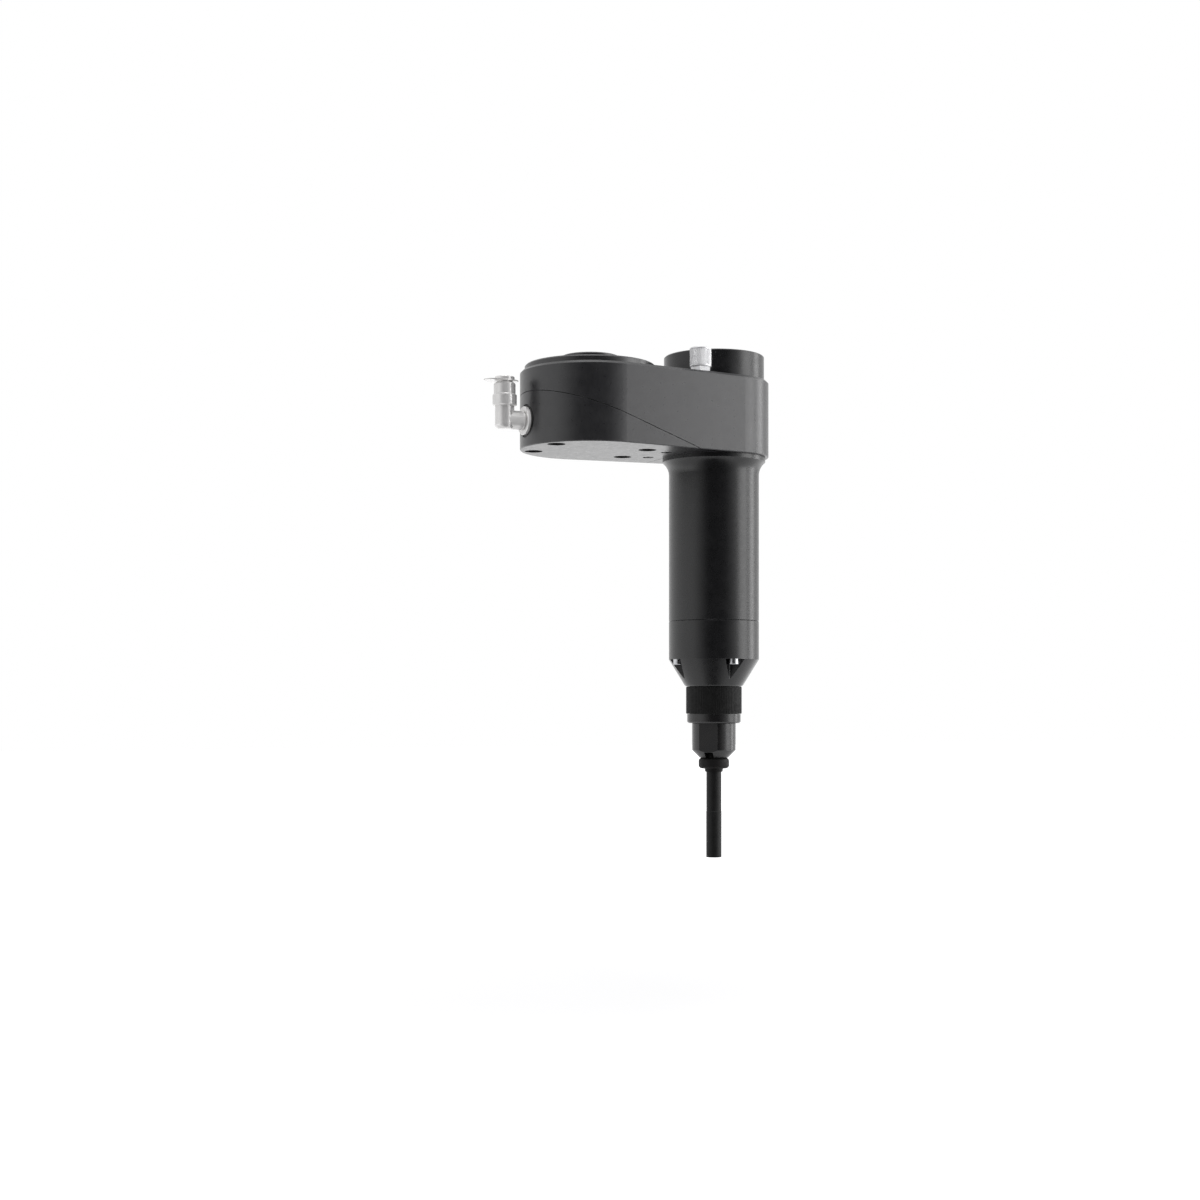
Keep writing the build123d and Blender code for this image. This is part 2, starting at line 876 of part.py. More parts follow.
def release_ring():
    flange_low = elbow_top + release_travel + release_stop_gap
    flange_high = flange_low + release_flange_t
    oval = Ellipse(release_flange_long / 2, release_flange_wide / 2)
    body = Pos(leg_x - release_flange_out, 0, flange_low) * extrude(oval, amount=release_flange_t)
    top = rod(release_top_r, flange_high, flange_high + release_top_h, leg_x)
    body += fillet(top_edges(top), release_round)
    body += rod(release_sleeve_r, release_bottom, flange_low, leg_x)
    return body - rod(air_tube_r, release_bottom, flange_high + release_top_h, leg_x)


nipple_x = arm_length - math.sqrt(tube_r**2 - nipple_y**2)
passage_turn = 180 - math.degrees(math.asin(nipple_y / passage_ring_r))
passage_x = passage_ring_r * math.cos(math.radians(passage_turn))


def hose_nipple():
    # Crosses from the channel into the drilled passage in the tube's wall
    inner_end = arm_length + passage_x
    flange_x = nipple_x - nipple_flange_t
    outer_end = flange_x - nipple_proud
    flange = side_rod(nipple_flange_r, flange_x, inner_end, nipple_z, nipple_y)
    flange -= rod(tube_r, seam_z, tube_top, arm_length)
    body = flange + side_rod(nipple_r, outer_end, inner_end, nipple_z, nipple_y)
    return body - side_rod(fitting_bore_r, outer_end, inner_end, nipple_z, nipple_y)


def air_hose():
    start_x = spot_x + fitting_thread_length + hose_end_gap
    end_x = nipple_x - nipple_flange_t - hose_end_gap
    route = bent_route([
        (start_x, 0, port_z),
        (start_x + hose_run_out, 0, port_z),
        (end_x - hose_run_in, nipple_y, nipple_z),
        (end_x, nipple_y, nipple_z),
    ])
    return hose(route, soft_bends(route), hose_r, barb_r + seat_gap)


cable_low_z = board_bottom - header_h / 2
encoder_header_x = arm_length - encoder_header_back
encoder_header_z = encoder_board_bottom + board_t


def motor_cable():
    start_x = power_header_x + header_length / 2
    end_x = encoder_header_x - encoder_header_length / 2
    end_z = encoder_header_z + encoder_header_h / 2
    slot_z = slot_bottom + motor_cable_r + cable_above_slot
    route = bent_route([
        (start_x, power_header_y, cable_low_z),
        (start_x + motor_run_out, power_header_y, cable_low_z),
        (arm_length - tube_r, encoder_header_y, slot_z),
        (arm_length - tube_bore_r, encoder_header_y, slot_z),
        (end_x - motor_run_in, encoder_header_y, end_z),
        (end_x, encoder_header_y, end_z),
    ])
    return hose(route, soft_bends(route), motor_cable_r)


power_turn_z = channel_top - power_turn_drop
power_exit_x = connector_x - power_exit_back


def cable_passage():
    # Slanting drilling from the connector's pocket to the channel
    start = Vector(connector_x, connector_y, power_turn_z)
    end = Vector(power_exit_x, power_exit_y, power_turn_z)
    along = Plane(origin=start, z_dir=end - start)
    drilling = extrude(along * Circle(cable_passage_r), amount=(end - start).length)
    return drilling + Pos(*start) * Sphere(cable_passage_r)


def power_cable():
    start_x = power_header_x + header_length / 2
    header_z = board_top + header_h / 2
    route = [
        (connector_x, connector_y, arm_top - connector_stem_h),
        (connector_x, connector_y, power_turn_z),
        (power_exit_x, power_exit_y, power_turn_z),
        (start_x + power_run_in, power_header_y, header_z),
        (start_x, power_header_y, header_z),
    ]
    bends = [connector_bend, cable_bend, cable_bend]
    return hose(route, bends, power_cable_r)


connector_face_z = arm_top + connector_hex_h
connector_top = connector_face_z + connector_thread_h
connector_insert_top = connector_top - connector_insert_drop


def connector_shell():
    hexagon = RegularPolygon(connector_hex / 2, 6, major_radius=False)
    body = Pos(0, 0, arm_top) * extrude(hexagon, amount=connector_hex_h)
    thread = rod(connector_shell_r, connector_face_z, connector_top)
    thread = chamfer(top_edges(thread), connector_thread_edge)
    body += thread + rod(connector_stem_r, arm_top - connector_stem_h, arm_top)
    body -= rod(connector_insert_r, arm_top - connector_stem_h, connector_insert_top)
    return body - rod(connector_socket_r, connector_insert_top, connector_top)


def connector_insert():
    top = connector_insert_top
    low = arm_top - connector_stem_h + connector_insert_room
    body = rod(connector_insert_r, low, top)
    for place in around(pin_circle_r, pin_count):
        body -= place * rod(pin_hole_r, top - pin_hole_deep, top)
    return body - rod(pin_hole_r, top - pin_hole_deep, top)


def connector_ring():
    low = connector_face_z + connector_ring_lift
    high = low + connector_ring_h
    return ribbed_ring(connector_ring_r, connector_shell_r, connector_ribs, connector_rib_r, low, high)


def spindle_tube():
    flare_z = arm_bottom - lip_t
    flare_end = flare_z - flare_h
    overhang = lip_r - tube_r
    flare_r = (flare_h**2 + overhang**2) / (2 * overhang)
    half_turn = math.asin(flare_h / flare_r) / 2
    middle_r = tube_r + flare_r - flare_r * math.cos(half_turn)
    middle_z = flare_end + flare_r * math.sin(half_turn)
    outline = [
        Polyline((tube_r, 0, flare_end), (tube_r, 0, seam_z + edge_break),
                 (tube_r - edge_break, 0, seam_z), (tube_end_bore_r, 0, seam_z),
                 (tube_end_bore_r, 0, floor_z), (tube_bore_r, 0, floor_z),
                 (tube_bore_r, 0, tube_top), (tube_r, 0, tube_top), (tube_r, 0, arm_bottom),
                 (lip_r, 0, arm_bottom), (lip_r, 0, flare_z)),
        ThreePointArc((lip_r, 0, flare_z), (middle_r, 0, middle_z), (tube_r, 0, flare_end)),
    ]
    body = revolve(make_face(outline), Axis.Z)
    body -= block(tube_r, slot_w, slot_bottom, channel_top, -tube_r)
    body -= rod(passage_r, seam_z, nipple_z, passage_x, nipple_y)
    body -= side_rod(nipple_r + screw_gap, -tube_r, passage_x, nipple_z, nipple_y)
    cap_tip = cap_screw_z - cap_screw_length - tip_room
    for place in around(cap_screw_circle_r, cap_screw_count, cap_screw_angle):
        body -= place * rod(cap_screw_r + screw_gap, cap_tip, tube_top)
    nose_tip = ring_bottom + nose_screw_length + tip_room
    for place in around(nose_screw_circle_r, nose_screw_count):
        body -= place * rod(nose_screw_r + screw_gap, seam_z, nose_tip)
    return body


cap_top = arm_top + cap_h
cap_screw_z = cap_top - cap_counterbore_deep


def top_cap():
    body = chamfer(top_edges(rod(cap_r, arm_top, cap_top)), cap_chamfer)
    body -= rod(cap_hollow_r, arm_top, cap_top - cap_roof)
    for place in around(cap_screw_circle_r, cap_screw_count, cap_screw_angle):
        body -= place * rod(cap_screw_r + screw_gap, arm_top, cap_top)
        body -= place * rod(cap_counterbore_r, cap_screw_z, cap_top)
    return body


def cap_screws():
    screw = socket_screw(cap_screw_r, cap_screw_length, cap_screw_head_r, cap_screw_head_h)
    places = around(cap_screw_circle_r, cap_screw_count, cap_screw_angle)
    return [place * Pos(0, 0, cap_screw_z) * screw for place in places]


def bearing(bore_r, outer_r, width, ball_r, ball_count):
    # Ball bearing standing on z = 0: its outer ring, its inner ring and its balls
    middle_r = (bore_r + outer_r) / 2
    half = width / 2
    track = Pos(0, 0, half) * Torus(middle_r, ball_r)
    loose_track = Pos(0, 0, half) * Torus(middle_r, ball_r + running_gap)
    outer = tube(outer_r, middle_r + ball_r * race_share, 0, width) - track
    inner = tube(middle_r - ball_r * race_share, bore_r, 0, width) - loose_track
    balls = [place * Pos(0, 0, half) * Sphere(ball_r) for place in around(middle_r, ball_count)]
    return outer, inner, balls


def rotor_bearings():
    outer, inner, balls = bearing(
        rotor_shaft_r, rotor_bearing_r, rotor_bearing_t, rotor_ball_r, rotor_ball_count
    )
    heights = (lower_rotor_bearing_z, upper_rotor_bearing_z)
    return (
        [Pos(0, 0, z) * outer for z in heights],
        [Pos(0, 0, z) * inner for z in heights],
        [Pos(0, 0, z) * ball for z in heights for ball in balls],
    )


def spindle_bearings():
    outer, inner, balls = bearing(
        spindle_r, spindle_bearing_r, spindle_bearing_t, spindle_ball_r, spindle_ball_count
    )
    heights = (lower_spindle_bearing_z, upper_spindle_bearing_z)
    return (
        [Pos(0, 0, z) * outer for z in heights],
        [Pos(0, 0, z) * inner for z in heights],
        [Pos(0, 0, z) * ball for z in heights for ball in balls],
    )


def bearing_carrier():
    body = rod(stack_r, floor_z, bearing_carrier_top)
    body += rod(carrier_barrel_r, seam_z - barrel_below_seam, floor_z)
    low = lower_spindle_bearing_z + spindle_bearing_t
    body -= rod(spindle_bearing_r, seam_z - barrel_below_seam, low)
    body -= rod(spindle_bearing_lip_r, low, upper_spindle_bearing_z)
    return body - rod(spindle_bearing_r, upper_spindle_bearing_z, bearing_carrier_top)


def lower_end_plate():
    body = rod(stack_r, ring_gear_top, stator_bottom)
    body -= rod(stack_r - plate_rim_t, lower_plate_top, stator_bottom)
    body -= rod(rotor_bearing_r, lower_rotor_bearing_z, lower_plate_top)
    return body - rod(rotor_bearing_lip_r, ring_gear_top, lower_plate_top)


def upper_end_plate():
    body = rod(stack_r, stator_top, upper_plate_top)
    body -= rod(stack_r - plate_rim_t, stator_top, upper_plate_bottom)
    body -= rod(rotor_bearing_r, upper_plate_bottom, upper_plate_bottom + rotor_bearing_t)
    body -= rod(rotor_bearing_lip_r, upper_plate_bottom, upper_plate_top)
    for place in around(encoder_post_circle_r, encoder_post_count, encoder_post_angle):
        body += place * rod(encoder_post_r, upper_plate_top, encoder_board_bottom)
    return body


def clamp_ring():
    return tube(stack_r, stack_r - clamp_ring_t, upper_plate_top, upper_plate_top + clamp_ring_h)


def encoder_board():
    body = rod(encoder_board_r, encoder_board_bottom, encoder_board_bottom + board_t)
    low = encoder_header_z
    header = block(encoder_header_length, header_width, low, low + encoder_header_h,
                   -encoder_header_back, encoder_header_y)
    return body + header


def stator_core():
    yoke = tube(stack_r, stack_r - stator_yoke_t, stator_bottom, stator_top)
    yoke_r = stack_r - stator_yoke_t / 2
    tooth_length = yoke_r - stator_bore_r
    foot_x = stator_bore_r + tooth_foot_t / 2
    for place in around(0, tooth_count):
        middle = stator_bore_r + tooth_length / 2
        tooth = block(tooth_length, tooth_w, stator_bottom, stator_top, middle)
        yoke += place * tooth
        yoke += place * block(tooth_foot_t, tooth_foot_w, stator_bottom, stator_top, foot_x)
    return yoke - rod(stator_bore_r, stator_bottom, stator_top)


def stator_windings():
    outer_end = stack_r - stator_yoke_t - 4 * coil_gap
    length = outer_end - coil_inner_r
    middle = coil_inner_r + length / 2
    low = stator_bottom - coil_overhang
    high = stator_top + coil_overhang
    coil = block(length, coil_w, low, high, middle)
    coil = fillet(coil.edges().filter_by(Axis.X), coil_round)
    opening = block(length, tooth_w + 2 * coil_gap, stator_bottom - coil_gap,
                    stator_top + coil_gap, middle)
    coil -= opening
    trim = rod(outer_end, low, high)
    return [(place * coil) & trim for place in around(0, tooth_count)]


def rotor_shaft():
    core_r = rotor_r - magnet_t
    low = stator_bottom + rotor_end_room
    high = stator_top - rotor_end_room
    shaft_low = planet_bottom - sun_low_room
    shaft = chamfer(rod(rotor_shaft_r, shaft_low, rotor_shaft_top).edges(), shaft_edge)
    collars = rod(rotor_collar_r, lower_plate_top, low)
    collars += rod(rotor_collar_r, high, upper_plate_bottom)
    return shaft + collars + rod(core_r, low, high)


def rotor_magnets():
    core_r = rotor_r - magnet_t
    low = stator_bottom + rotor_end_room
    high = stator_top - rotor_end_room
    shell = tube(rotor_r, core_r, low, high)
    sector_angle = 360 / magnet_count - magnet_gap_angle
    far = 2 * rotor_r
    half = math.radians(sector_angle / 2)
    corners = [(0, 0), (far * math.cos(half), -far * math.sin(half)),
               (far * math.cos(half), far * math.sin(half))]
    wedge = Pos(0, 0, low) * extrude(make_face(Polyline(*corners, close=True)), amount=high - low)
    return [(place * wedge) & shell for place in around(0, magnet_count)]


def encoder_magnet():
    return rod(encoder_magnet_r, rotor_shaft_top, rotor_shaft_top + encoder_magnet_t)


def gear_outline(teeth, addendum, dedendum, extra_width, turn=0.0):
    # Spur gear outline with involute flanks. Extra width thickens each tooth at the pitch circle.
    pitch_r = gear_module * teeth / 2
    angle = math.radians(pressure_angle)
    base_r = pitch_r * math.cos(angle)
    tip_r = pitch_r + addendum * gear_module
    root_r = pitch_r - dedendum * gear_module
    half_width = (math.pi * gear_module / 2 + extra_width) / (2 * pitch_r)
    half_width += math.tan(angle) - angle
    start_r = max(base_r, root_r)
    flank = []
    for i in range(flank_steps + 1):
        r = start_r + (tip_r - start_r) * i / flank_steps
        roll = math.acos(min(1.0, base_r / r))
        flank.append((r, half_width - (math.tan(roll) - roll)))
    if root_r < base_r:
        flank.insert(0, (root_r, flank[0][1]))
    points = []
    for i in range(teeth):
        centre = 2 * math.pi * i / teeth + math.radians(turn)
        sides = [(r, centre - a) for r, a in flank] + [(r, centre + a) for r, a in flank[::-1]]
        points += [(r * math.cos(a), r * math.sin(a)) for r, a in sides]
    return make_face(Polyline(*points, close=True))


def sun_gear():
    outline = gear_outline(sun_teeth, gear_addendum, gear_dedendum, -gear_backlash / 2)
    low = planet_bottom - sun_low_room
    body = Pos(0, 0, low) * extrude(outline, amount=sun_h)
    return body - rod(rotor_shaft_r, low, low + sun_h)


def planet_gears():
    half_tooth = 180 / planet_teeth
    outline = gear_outline(planet_teeth, gear_addendum, gear_dedendum, -gear_backlash / 2, half_tooth)
    gear = Pos(0, 0, planet_bottom) * extrude(outline, amount=planet_h)
    gear -= rod(planet_pin_r + running_gap, planet_bottom, planet_bottom + planet_h)
    return [place * gear for place in around(planet_orbit_r, planet_count)]


def ring_gear():
    half_tooth = 180 / ring_teeth
    hole = gear_outline(ring_teeth, gear_dedendum, gear_addendum, gear_backlash / 2, half_tooth)
    root_r = gear_module * (ring_teeth / 2 + gear_dedendum)
    body = rod(stack_r, bearing_carrier_top, ring_gear_top)
    low = planet_bottom - gear_floor_gap
    body -= rod(root_r, bearing_carrier_top, low)
    return body - Pos(0, 0, low) * extrude(hole, amount=ring_gear_top - low)


def spindle_shaft():
    body = rod(disc_r, disc_bottom, disc_top)
    shoulder_z = upper_spindle_bearing_z + spindle_bearing_t
    body += rod(spindle_shoulder_r, shoulder_z, disc_bottom)
    body += rod(spindle_r, chuck_top, shoulder_z)
    body += rod(spindle_flange_r, chuck_top, spindle_flange_top)
    body += rod(stub_r, chuck_top - stub_length, chuck_top)
    for place in around(planet_orbit_r, planet_count):
        body -= place * rod(planet_pin_r, disc_bottom, disc_top)
    return body


def planet_pins():
    pin = rod(planet_pin_r, disc_bottom, planet_bottom + planet_h)
    washer_r = planet_pin_r + planet_washer_wide
    washer = tube(washer_r, planet_pin_r, disc_top, planet_bottom - planet_washer_gap)
    pin = chamfer(top_edges(pin), shaft_edge)
    return [place * (pin + washer) for place in around(planet_orbit_r, planet_count)]


def shaft_seal():
    return tube(seal_r, spindle_r + running_gap, throat_top, throat_top + seal_t)


def bit_chuck():
    body = rod(chuck_r, chuck_bottom, chuck_top)
    foot = rod(chuck_foot_r, chuck_bottom, chuck_bottom + chuck_foot_t)
    body += chamfer(foot.edges(), chuck_foot_edge)
    body -= rod(stub_r, chuck_top - stub_length, chuck_top)
    socket = RegularPolygon(hex_size / 2 + hex_gap, 6, major_radius=False)
    return body - Pos(0, 0, chuck_bottom) * extrude(socket, amount=hex_in_chuck + hex_end_room)


def driver_bit():
    hexagon = RegularPolygon(hex_size / 2, 6, major_radius=False)
    hex_bottom = chuck_bottom - hex_below_chuck
    shank = Pos(0, 0, hex_bottom) * extrude(hexagon, amount=hex_in_chuck + hex_below_chuck)
    hex_top = chuck_bottom + hex_in_chuck
    end_r = hex_size / 2 - hex_end_edge
    slope = hex_size - end_r
    ends = turned(
        (0, hex_bottom),
        (end_r, hex_bottom),
        (hex_size, hex_bottom + slope),
        (hex_size, hex_top - slope),
        (end_r, hex_top),
        (0, hex_top),
    )
    tip_top = bit_bottom + bit_tip_length
    neck = rod(bit_neck_r, tip_top, hex_bottom)
    tip_face = Circle(bit_tip_core_r)
    for place in around(bit_tip_core_r, bit_tip_lobes):
        tip_face += place * Circle(bit_tip_lobe_r)
    tip = Pos(0, 0, bit_bottom) * extrude(tip_face, amount=bit_tip_length)
    return (shank & ends) + neck + tip


def chuck_spring():
    low = chuck_bottom + chuck_foot_t
    return coil_spring(chuck_spring_r, chuck_spring_wire_r, chuck_spring_turns, low, chuck_sleeve_bottom)


def chuck_sleeve():
    body = rod(chuck_sleeve_r, chuck_sleeve_bottom, chuck_sleeve_top)
    body = chamfer(body.edges(), chuck_sleeve_edge)
    middle = (chuck_sleeve_bottom + chuck_sleeve_top) / 2
    groove_r = chuck_sleeve_r - chuck_groove_deep
    for i in (-1, 0, 1):
        low = middle + i * chuck_groove_pitch - chuck_groove_half
        body -= tube(2 * chuck_sleeve_r, groove_r, low, low + 2 * chuck_groove_half)
    return body - rod(chuck_r + running_gap, chuck_sleeve_bottom, chuck_sleeve_top)


bayonet_z = cone_bottom + bayonet_rise
bayonet_reach = shank_r + bayonet_proud


def screw_pocket():
    # Upright square-cornered notch whose corner points at the spindle and clears the screw's head
    corner_r = nose_screw_circle_r - math.sqrt(2) * (nose_screw_head_r + pocket_wall_gap)
    side = 2 * (tube_r - corner_r)
    notch = block(side, side, cone_bottom, ring_bottom, side / 2, side / 2)
    corner = notch.edges().filter_by(Axis.Z).sort_by_distance((0, 0, cone_bottom))[0]
    notch = fillet(corner, pocket_corner_r)
    return Pos(corner_r, 0, 0) * Rot(0, 0, -45) * notch


def nose_housing():
    # Lower ring and cone in one piece, with pockets for the screws that hold it to the tube
    body = turned(
        (0, seam_z),
        (tube_r - edge_break, seam_z),
        (tube_r, seam_z - edge_break),
        (tube_r, ring_bottom),
        (cone_lip_r, cone_bottom + cone_lip_edge),
        (cone_lip_r - cone_lip_edge, cone_bottom),
        (0, cone_bottom),
    )
    body -= rod(carrier_barrel_r + seat_gap, recess_z, seam_z)
    body -= rod(seal_r, throat_top, recess_z)
    body -= rod(throat_r, chamber_top, throat_top)
    body -= rod(chamber_r, shank_top, chamber_top)
    body -= rod(shank_r + seat_gap, cone_bottom, shank_top)
    groove_half = bayonet_pin_r + bayonet_gap
    body -= rod(bayonet_reach + bayonet_gap, bayonet_z - groove_half, bayonet_z + groove_half)
    reach = bayonet_reach + bayonet_gap
    for place in around(0, bayonet_count, bayonet_angle):
        body -= place * block(reach, 2 * groove_half, cone_bottom, bayonet_z, reach / 2)
    for place in around(nose_screw_circle_r, nose_screw_count):
        body -= place * rod(nose_screw_r + screw_gap, ring_bottom, seam_z)
    for turn in around(0, nose_screw_count):
        body -= turn * screw_pocket()
    passage_end = seam_z - passage_below_seam
    body -= rod(passage_r, passage_end, seam_z, passage_x, nipple_y)
    return body - side_rod(passage_r, passage_x, 0, passage_end + passage_r, nipple_y)


def nose_screws():
    screw = socket_screw(nose_screw_r, nose_screw_length, nose_screw_head_r, nose_screw_head_h)
    upwards = Pos(0, 0, ring_bottom) * Rot(180, 0, 0) * screw
    return [place * upwards for place in around(nose_screw_circle_r, nose_screw_count)]


def nose_adapter():
    # Plugs into the cone. Its web carries the sleeve spring and its lower bore takes the nose.
    lip = rod(nose_lip_r, nose_lip_bottom, collar_bottom)
    lip = chamfer(bottom_edges(lip), nose_lip_chamfer)
    body = rod(shank_r, collar_bottom, shank_top) + lip
    body -= rod(chamber_r, web_top, shank_top)
    body -= rod(web_hole_r, web_bottom, web_top)
    body -= rod(nose_thread_r + screw_gap, nose_lip_bottom, web_bottom)
    for place in around(0, bayonet_count, bayonet_angle):
        body -= place * side_rod(bayonet_pin_r, 0, bayonet_reach, bayonet_z)
    return body


def bayonet_pins():
    pin = side_rod(bayonet_pin_r, chamber_r + bayonet_inset, bayonet_reach, bayonet_z)
    return [place * pin for place in around(0, bayonet_count, bayonet_angle)]


def lock_collar():
    low = collar_bottom + collar_end_gap
    high = cone_bottom - collar_end_gap
    return ribbed_ring(collar_r, shank_r, collar_ribs, collar_rib_r, low, high)


def nose_body():
    body = turned(
        (0, web_bottom - nose_thread_end_gap),
        (nose_thread_r, web_bottom - nose_thread_end_gap),
        (nose_thread_r, nose_lip_bottom),
        (nose_r - edge_break, nose_lip_bottom),
        (nose_r, nose_lip_bottom - edge_break),
        (nose_r, nose_body_bottom),
        (nose_tip_r, nose_bottom),
        (0, nose_bottom),
    )
    flat_room = nose_r
    for side in (1, -1):
        x = side * (nose_flats / 2 + flat_room / 2)
        body -= Rot(0, 0, nose_flat_angle) * block(
            flat_room, 2 * nose_r, nose_bottom, nose_lip_bottom, x
        )
    slot = block(2 * nose_r, nose_slot_w, nose_bottom, nose_bottom + nose_slot_deep)
    body -= Rot(0, 0, nose_flat_angle) * slot
    body -= rod(nose_bore_r, nose_floor_z, web_bottom)
    body -= rod(sleeve_r + sleeve_gap, nose_bottom, nose_floor_z)
    return body - rod(grip_spigot_r, nose_bottom, nose_bottom + grip_spigot_h)


def sleeve_grip():
    ball = rod(grip_r, grip_bottom, nose_bottom)
    ball = fillet(ball.edges(), grip_round)
    neck = turned((0, grip_bottom), (grip_neck_top_r, grip_bottom), (grip_neck_r, grip_tip),
                  (0, grip_tip))
    body = ball + neck + rod(grip_spigot_r, nose_bottom - grip_root, nose_bottom + grip_spigot_h)
    return body - rod(sleeve_r + grip_gap, grip_tip, nose_bottom + grip_spigot_h)


def vacuum_sleeve():
    body = rod(sleeve_r, sleeve_step, sleeve_top)
    body += rod(sleeve_flange_r, sleeve_flange_bottom, sleeve_top)
    body += chamfer(rod(sleeve_tip_r, sleeve_bottom, sleeve_step).edges(), sleeve_tip_edge)
    body -= rod(sleeve_bore_r, sleeve_bottom, sleeve_top)
    return body - rod(screw_seat_r, sleeve_bottom, sleeve_bottom + screw_seat_deep)


def sleeve_spring():
    return coil_spring(sleeve_spring_r, sleeve_spring_wire_r, sleeve_spring_turns, sleeve_top, web_bottom)


def save(name, shapes, place=Pos(0, 0, 0)):
    # One STEP file for each named piece, identical pieces together in one
    pieces = shapes if isinstance(shapes, list) else [shapes]
    solids = [solid for piece in pieces for solid in (place * piece).solids()]
    export_step(solids[0] if len(solids) == 1 else Compound(solids), f"parts/{name}.step")


def build():
    os.makedirs("parts", exist_ok=True)
    save("robot_adapter", robot_adapter())
    save("locating_dowel", locating_dowel())
    save("upper_housing", upper_housing())
    save("lower_cover", lower_cover())
    save("cover_gasket", cover_gasket())
    save("housing_screws", housing_screws())
    save("cover_screws", cover_screws())
    save("control_board", control_board())
    save("board_screws", board_screws())
    save("board_components", board_components())
    save("fitting_stem", fitting_stem())
    save("fitting_gasket", fitting_gasket())
    save("elbow_body", elbow_body())
    save("release_ring", release_ring())
    save("hose_nipple", hose_nipple())
    save("air_hose", air_hose())
    save("motor_cable", motor_cable())
    save("power_cable", power_cable())
    save("connector_shell", connector_shell(), connector_place)
    save("connector_insert", connector_insert(), connector_place)
    save("connector_ring", connector_ring(), connector_place)
    save("spindle_tube", spindle_tube(), spindle_place)
    save("top_cap", top_cap(), spindle_place)
    save("cap_screws", cap_screws(), spindle_place)
    rotor_outer, rotor_inner, rotor_balls = rotor_bearings()
    spindle_outer, spindle_inner, spindle_balls = spindle_bearings()
    save("rotor_bearing_outer", rotor_outer, spindle_place)
    save("rotor_bearing_inner", rotor_inner, spindle_place)
    save("spindle_bearing_outer", spindle_outer, spindle_place)
    save("spindle_bearing_inner", spindle_inner, spindle_place)
    save("bearing_balls", rotor_balls + spindle_balls, spindle_place)
    save("bearing_carrier", bearing_carrier(), spindle_place)
    save("lower_end_plate", lower_end_plate(), spindle_place)
    save("upper_end_plate", upper_end_plate(), spindle_place)
    save("clamp_ring", clamp_ring(), spindle_place)
    save("encoder_board", encoder_board(), spindle_place)
    save("stator_core", stator_core(), spindle_place)
    save("stator_windings", stator_windings(), spindle_place)
    save("rotor_shaft", rotor_shaft(), spindle_place)
    save("rotor_magnets", rotor_magnets(), spindle_place)
    save("encoder_magnet", encoder_magnet(), spindle_place)
    save("sun_gear", sun_gear(), spindle_place)
    for number, gear in enumerate(planet_gears(), start=1):
        save(f"planet_gear_{number}", gear, spindle_place)
    save("ring_gear", ring_gear(), spindle_place)
    save("spindle_shaft", spindle_shaft(), spindle_place)
    save("planet_pins", planet_pins(), spindle_place)
    save("shaft_seal", shaft_seal(), spindle_place)
    save("bit_chuck", bit_chuck(), spindle_place)
    save("driver_bit", driver_bit(), spindle_place)
    save("chuck_spring", chuck_spring(), spindle_place)
    save("chuck_sleeve", chuck_sleeve(), spindle_place)
    save("nose_housing", nose_housing(), spindle_place)
    save("nose_screws", nose_screws(), spindle_place)
    save("nose_adapter", nose_adapter(), spindle_place)
    save("bayonet_pins", bayonet_pins(), spindle_place)
    save("lock_collar", lock_collar(), spindle_place)
    save("nose_body", nose_body(), spindle_place)
    save("sleeve_grip", sleeve_grip(), spindle_place)
    save("vacuum_sleeve", vacuum_sleeve(), spindle_place)
    save("sleeve_spring", sleeve_spring(), spindle_place)


build()
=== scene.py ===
import bmesh
import bpy
import math
from mathutils import Matrix, Vector


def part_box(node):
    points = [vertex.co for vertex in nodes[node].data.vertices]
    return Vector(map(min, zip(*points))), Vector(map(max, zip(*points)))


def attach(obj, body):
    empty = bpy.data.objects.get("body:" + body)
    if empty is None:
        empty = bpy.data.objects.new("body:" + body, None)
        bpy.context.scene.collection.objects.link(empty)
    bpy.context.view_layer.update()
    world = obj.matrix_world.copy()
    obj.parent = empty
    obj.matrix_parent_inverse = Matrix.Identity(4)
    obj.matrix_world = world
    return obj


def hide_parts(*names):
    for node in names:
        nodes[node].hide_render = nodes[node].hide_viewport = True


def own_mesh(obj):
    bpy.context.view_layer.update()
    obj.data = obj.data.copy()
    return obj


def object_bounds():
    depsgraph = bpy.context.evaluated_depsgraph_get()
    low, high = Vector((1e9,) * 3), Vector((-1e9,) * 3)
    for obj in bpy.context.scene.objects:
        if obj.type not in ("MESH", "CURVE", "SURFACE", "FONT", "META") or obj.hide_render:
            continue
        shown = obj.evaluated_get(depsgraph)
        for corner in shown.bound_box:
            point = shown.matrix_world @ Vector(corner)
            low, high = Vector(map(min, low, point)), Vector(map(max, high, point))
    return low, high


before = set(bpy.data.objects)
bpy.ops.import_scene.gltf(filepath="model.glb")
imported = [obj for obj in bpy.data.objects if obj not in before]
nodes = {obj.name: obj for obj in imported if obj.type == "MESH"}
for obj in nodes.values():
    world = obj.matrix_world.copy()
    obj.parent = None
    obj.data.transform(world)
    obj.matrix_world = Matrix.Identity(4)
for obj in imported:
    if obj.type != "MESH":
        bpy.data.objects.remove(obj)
cadLow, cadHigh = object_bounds()


def middle(node):
    low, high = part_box(node)
    return (low + high) / 2


spindleAxis = middle("top_cap")
connectorAxis = middle("connector_ring")
fittingAxis = middle("fitting_stem")
portAxis = middle("release_ring")


# Camera, on the left and a little below the arm

cameraLook = {
    "lens": 55.5,
    "sensor": 36,
    "place": (-0.4128, -0.8976, -0.1808),
    "heading": -25,  # degrees
    "shift": 0.0875,
    "nearest": 0.01,
}


